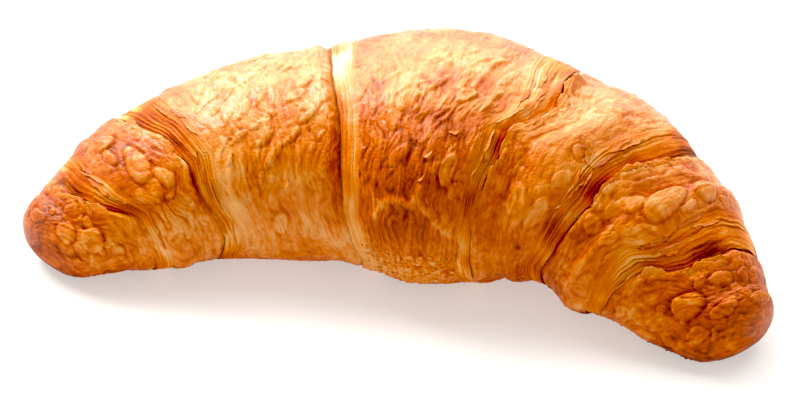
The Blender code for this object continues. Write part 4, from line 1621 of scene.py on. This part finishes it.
    # Mark, along, angle, length, width and, where given, amount and tilt.
    patches: tuple[Patch, ...] = (
        Patch(Mark.SMOOTH, 42, 172, 26, 20),
        Patch(Mark.SMOOTH, -34, 172, 24, 26),
        Patch(Mark.SMOOTH, -12, 88, 26, 10),
        Patch(Mark.CRUMBLY, 6, 203, 15, 24),
        Patch(Mark.COCKLED, -62, 160, 24, 15, 0.9),
        Patch(Mark.COCKLED, 64, 165, 24, 14, 0.5),
        Patch(Mark.COCKLED, 88, 110, 60, 16, 0.4),
        Patch(Mark.COCKLED, -87, 110, 60, 16, 0.4),
        Patch(Mark.COCKLED, 6, 130, 34, 26, 0.8),
        Patch(Mark.COCKLED, -32, 120, 30, 26, 0.4),
        Patch(Mark.PLEATED, -42, 105, 40, 9, 0.7),
        Patch(Mark.PLEATED, -42, 140, 44, 14),
        Patch(Mark.PLEATED, -30, 165, 30, 30, 0.8),
        Patch(Mark.PLEATED, -60, 170, 20, 22, 0.8),
        Patch(Mark.PLEATED, 4, 150, 60, 34, 0.7),
        Patch(Mark.PLEATED, 40, 180, 34, 30, 0.6),
        Patch(Mark.PLEATED, 66, 180, 26, 22, 0.8),
        Patch(Mark.PLEATED, -84, 185, 20, 22, 0.9),
        Patch(Mark.PLEATED, 84, 185, 20, 24, 0.9),
        Patch(Mark.STRIATED, -85, 196, 22, 26),
        Patch(Mark.STRIATED, 85, 200, 22, 30),
        Patch(Mark.PALE, -1.5, 108, 12, 9, 0.4),
        Patch(Mark.PALE, 29, 100, 20, 8, 0.4, -40),
        Patch(Mark.PALE, 38, 108, 24, 9, 0.35, -45),
        Patch(Mark.PALE, 2, 88, 46, 36, 0.42),
        Patch(Mark.PALE, 48, 90, 34, 24, 0.35),
        Patch(Mark.PALE, -48, 132, 48, 7, 0.4),
        Patch(Mark.PALE, 5, 204, 18, 30, 0.7),
        Patch(Mark.PALE, -60, 164, 30, 15, 0.35),
        Patch(Mark.PALE, -36, 182, 22, 34, 0.14),
        Patch(Mark.PALE, -74, 186, 30, 17, 0.42),
        Patch(Mark.PALE, -84, 188, 16, 18, 0.2),
        Patch(Mark.PALE, 71, 186, 30, 18, 0.35),
        Patch(Mark.PALE, -59, 184, 20, 22, 0.3),
        Patch(Mark.PALE, 57, 58, 24, 12, 0.35),
        Patch(Mark.PALE, -32, 82, 26, 26, 0.25),
        Patch(Mark.PALE, 29, 78, 22, 9, 0.5),
        Patch(Mark.PALE, -17, 82, 34, 7, 0.1),
        Patch(Mark.PALE, 6, 88, 14, 20, 0.25),
        # painted shade beside the left inner seam, where the shoulder curves down under the middle's edge
        Patch(Mark.DARK, -17.2, 140, 50, 6, 0.35),
        Patch(Mark.DARK, 37, 158, 44, 28, 0.22),
        Patch(Mark.DARK, 4, 148, 40, 32, 0.38),
        Patch(Mark.DARK, 48.4, 117, 3.4, 2.2, 1.2),
        Patch(Mark.DARK, 38.8, 180, 1.3, 1.1, 1.5),
        Patch(Mark.DARK, -8.3, 104, 1.1, 0.9, 1.5),
        Patch(Mark.DARK, 2.5, 174, 13, 13, 0.2),
    )
    # Along, angle, turn, reach, width, rise and bake.
    flakes: tuple[Flake, ...] = (
        Flake(-31.6, 154, 70, 2.2, 2.6, 0.7, 0.3),
        Flake(10.6, 139, 60, 1.0, 2.8, 0.3, 0.4),
        Flake(9.8, 149, 50, 1.0, 2.6, 0.3, 0.4),
        Flake(16.1, 128, 80, 0.9, 3.0, 0.3, 0.4),
        Flake(-19.6, 151, 180, 1.8, 3.4, 0.6, 0.35),
        Flake(50.2, 115, 150, 1.4, 4.4, 0.7, 0.35),
    )
    # Count, and the ranges of along, angle, size and bake.
    crumb_fields: tuple[CrumbField, ...] = (
        CrumbField(320, (-9, 21), (190, 226), (0.5, 1.5), (0.15, 0.6)),
        CrumbField(80, (24, 54), (212, 236), (0.4, 1.2), (0.45, 1.0)),
        CrumbField(170, (46, 88), (222, 240), (0.6, 1.7), (0.8, 1.1)),
        CrumbField(60, (-90, -20), (214, 236), (0.3, 0.8), (0.3, 0.9)),
        CrumbField(60, (20, 34), (60, 100), (0.3, 0.7), (0.1, 0.4)),
        CrumbField(40, (-20, -12), (70, 200), (0.3, 0.6), (0.35, 0.6)),
    )
    seed: int = 5

    def segments(self) -> list[Segment]:
        """The seven turns of dough that show, from left to right."""
        left, right = Side.LEFT, Side.RIGHT
        both = {left: self.left_inner, right: self.right_inner}
        roll = self.roll
        return [
            Segment("left_horn", roll, {}, self.left_outer, left, 0.6, -0.2, 0.66, -0.6, 0.28),
            Segment(
                "left_arm", roll, {left: self.left_outer}, self.left_middle,
                left, 0.6, 0.6, 0.61, 0.7, 0.3,
            ),
            Segment(
                "left_shoulder", roll, {left: self.left_middle}, self.left_inner,
                left, 1.0, 0, 0.45, -0.9,
            ),
            Segment("middle", roll, both, None, right, 1.3, 1.2, 0.56),
            Segment(
                "right_shoulder", roll, {right: self.right_middle}, self.right_inner,
                right, 1.2, -1.5, 0.5, -2.4,
            ),
            Segment(
                "right_arm", roll, {right: self.right_outer}, self.right_middle,
                right, 1.0, 0.3, 0.52, 1.9, 0.3,
            ),
            Segment("right_horn", roll, {}, self.right_outer, right, 0.6, 0.8, 0.64, 0.6, 0.28),
        ]

    def shift(self) -> Array:
        """From the roll's middle to the frame's origin, so that the crust lies where the solid does."""
        low, high = (np.array(corner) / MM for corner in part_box(NODE))
        corners = np.concatenate([segment.surface().points.reshape(-1, 3) for segment in self.segments()])
        middle = (corners.min(axis=0) + corners.max(axis=0)) / 2
        move = (low + high) / 2 - middle
        move[2] = 0
        return move

    def build(self) -> None:
        """Builds and dresses every piece."""
        crust = BakedCrust().make()
        random = np.random.default_rng(self.seed)
        strewn = [blister for field_ in self.fields for blister in field_.blisters(random)]
        skin = Skin(self.roll, (*self.blisters, *strewn), self.wrinkles, self.patches)
        shift = self.shift()
        pieces, flakes, crumbs = [], [], []
        noise = Noise(self.seed)
        ball = unit_ball()
        strewn_crumbs = [crumb for crumb_field in self.crumb_fields for crumb in crumb_field.crumbs(random)]
        for segment in self.segments():
            piece, shell = segment.build(skin, shift)
            pieces.append(piece)
            start, end = segment.reach()
            sheets = self.torn_flakes(segment, random)
            sheets += [flake for flake in self.flakes if start < flake.along < end]
            flakes += [flake.build(self.roll, shell, noise) for flake in sheets]
            here = [crumb for crumb in strewn_crumbs if start < crumb.along < end]
            crumbs += [crumb.build(self.roll, shell, ball, noise) for crumb in here]
        pieces.append(Loose.joined("flakes", flakes, 0.5, shift))
        pieces.append(Loose.joined("crumbs", crumbs, 0.8, shift))
        for piece in pieces:
            piece.data.materials.append(crust)
            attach(piece, BODY)
            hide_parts(NODE)
            LOG.info("%s: %d faces", piece.name, len(piece.data.polygons))

    def torn_flakes(self, segment: Segment, random: np.random.Generator) -> list[Flake]:
        """Flakes at a segment's lip, over the groove, and out of the layers of its cut edges.

        Args:
            segment: The segment.
            random: Where the chances come from.

        Returns:
            The flakes.
        """
        made = []
        if segment.inner:
            seam, side = segment.inner, segment.side.value
            for _ in range(seam.flakes):
                angle = random.triangular(48, 95, 160)
                place = float(seam.place(np.array(angle))) + random.uniform(1.2, 2.8)
                slant = seam.slant(angle, float(self.roll.radius(np.array(side * place))))
                turn = 90 + 90 * side - side * slant + random.uniform(-6, 6)
                reach, width = random.uniform(0.7, 1.4), random.uniform(4, 11)
                rise, bake = random.uniform(0.02, 0.2), random.uniform(0.28, 0.5)
                made.append(Flake(side * place, angle, turn, reach, width, rise, bake))
        for side, seam in segment.outer.items():
            for _ in range(seam.flakes):
                angle = random.triangular(55, 110, 200)
                share = random.uniform(0.05, 0.6)
                width = float(seam.width(np.array(angle)))
                place = float(seam.place(np.array(angle))) - width * (1 - share)
                slant = seam.slant(angle, float(self.roll.radius(np.array(side.value * place))))
                turn = 90 - 90 * side.value - side.value * slant + random.uniform(-4, 4)
                reach = random.uniform(0.5, 1.2)
                long = random.uniform(4, 12)
                bake = seam.bake + random.uniform(-0.2, 0.1)
                rise = random.uniform(0, 0.15)
                made.append(Flake(side.value * place, angle, turn, reach, long, rise, bake))
        return made


def unit_ball() -> tuple[Array, Array]:
    """Makes a ball of radius 1.

    Returns:
        Its points and its triangles.
    """
    form = bmesh.new()
    bmesh.ops.create_icosphere(form, subdivisions=1, radius=1.0)
    points = np.array([point.co for point in form.verts])
    faces = np.array([[point.index for point in face.verts] for face in form.faces])
    form.free()
    return points, faces


@dataclass
class SoftBox:
    """A large soft light."""

    name: str
    azimuth: float  # where it stands, seen from the croissant: 0 in front, 180 behind
    elevation: float
    distance: float  # metres
    width: float
    height: float
    radiance: float
    colour: str = "FFFFFF"

    def build(self, target: Vector) -> None:
        """Adds the light, turned to the croissant.

        Args:
            target: The point that it is turned to.
        """
        lamp = bpy.data.lights.new(self.name, "AREA")
        lamp.shape = "RECTANGLE"
        lamp.size = self.width
        lamp.size_y = self.height
        lamp.energy = self.radiance * math.pi * self.width * self.height
        lamp.color = linear_colour(self.colour)[:3]
        thing = bpy.data.objects.new(self.name, lamp)
        bpy.context.scene.collection.objects.link(thing)
        way = view_way(self.azimuth, self.elevation)
        thing.location = target + way * self.distance
        thing.rotation_mode = "QUATERNION"
        thing.rotation_quaternion = way.to_track_quat("Z", "Y")


def view_way(azimuth: float, elevation: float) -> Vector:
    """The direction from the croissant to a place.

    Args:
        azimuth: The place's azimuth in degrees, 0 in front.
        elevation: Its elevation in degrees.

    Returns:
        The direction, of length 1.
    """
    turn = math.radians(azimuth)
    rise = math.radians(elevation)
    return Vector((math.sin(turn) * math.cos(rise), -math.cos(turn) * math.cos(rise), math.sin(rise)))


@dataclass
class Studio:
    """A white floor, soft daylight boxes and the camera."""

    azimuth: float = 11.59  # the camera's
    elevation: float = 36.48
    distance: float = 0.520  # metres
    lens: float = 100.6  # focal length
    sensor: float = 36.0  # its width
    target: Vector = field(default_factory=lambda: Vector((0.34, -12.36, 20.0)) * MM)
    floor_size: float = 6.0  # metres
    floor_under: float = 0.05  # how far it lies under the croissant, so that they don't touch
    paper: str = "BCBBB9"
    paper_roughness: float = 0.9
    floor_light: str = "FEFBF6"
    floor_glow: float = 0.5  # paper lit from below, which keeps the shadow pale
    surround: str = "FFFFFF"
    sky: float = 0.55
    black: float = 0.04  # what is darker than this is black, as in a contrasty print
    lights: tuple[SoftBox, ...] = (
        SoftBox("key", 246, 47, distance=1.2, width=0.5, height=0.5, radiance=17.0),
        SoftBox("top", 186, 68, distance=1.3, width=1.7, height=1.1, radiance=2.6),
        SoftBox("back", 191, 26, distance=1.6, width=2.6, height=0.9, radiance=3.2),
    )

    def build(self) -> None:
        """Sets up the floor, the lights and the camera."""
        self.build_floor()
        self.build_sky()
        for light in self.lights:
            light.build(self.target)
        self.build_camera()
        view = bpy.context.scene.view_settings
        view.view_transform = "Standard"
        view.use_curve_mapping = True
        view.curve_mapping.black_level = (self.black, self.black, self.black)

    def build_floor(self) -> None:
        """A white sheet of paper, wide enough to fill every view."""
        under = -self.floor_under * MM
        bpy.ops.mesh.primitive_plane_add(size=self.floor_size, location=(0, 0, under))
        floor = bpy.context.object
        floor.name = "floor"
        paper = bpy.data.materials.new("matte_white_paper")
        paper.use_nodes = True
        shader = paper.node_tree.nodes["Principled BSDF"]
        shader.inputs["Base Color"].default_value = linear_colour(self.paper)
        shader.inputs["Roughness"].default_value = self.paper_roughness
        shader.inputs["Emission Color"].default_value = linear_colour(self.floor_light)
        shader.inputs["Emission Strength"].default_value = self.floor_glow
        floor.data.materials.append(paper)

    def build_sky(self) -> None:
        """An even white surround."""
        world = bpy.data.worlds.new("white_surround")
        bpy.context.scene.world = world
        world.use_nodes = True
        back = world.node_tree.nodes["Background"]
        back.inputs["Color"].default_value = linear_colour(self.surround)
        back.inputs["Strength"].default_value = self.sky

    def build_camera(self) -> None:
        """The camera, at the photograph's viewing angle."""
        lens = bpy.data.cameras.new("camera")
        lens.sensor_width = self.sensor
        lens.lens = self.lens
        camera = bpy.data.objects.new("camera", lens)
        bpy.context.scene.collection.objects.link(camera)
        way = view_way(self.azimuth, self.elevation)
        camera.location = self.target + way * self.distance
        camera.rotation_mode = "QUATERNION"
        camera.rotation_quaternion = way.to_track_quat("Z", "Y")
        bpy.context.scene.camera = camera


def main() -> None:
    """Builds the croissant and its studio."""
    logging.basicConfig(level=logging.INFO, format="%(name)s: %(message)s")
    Croissant().build()
    Studio().build()


if __name__ == "__main__":
    main()
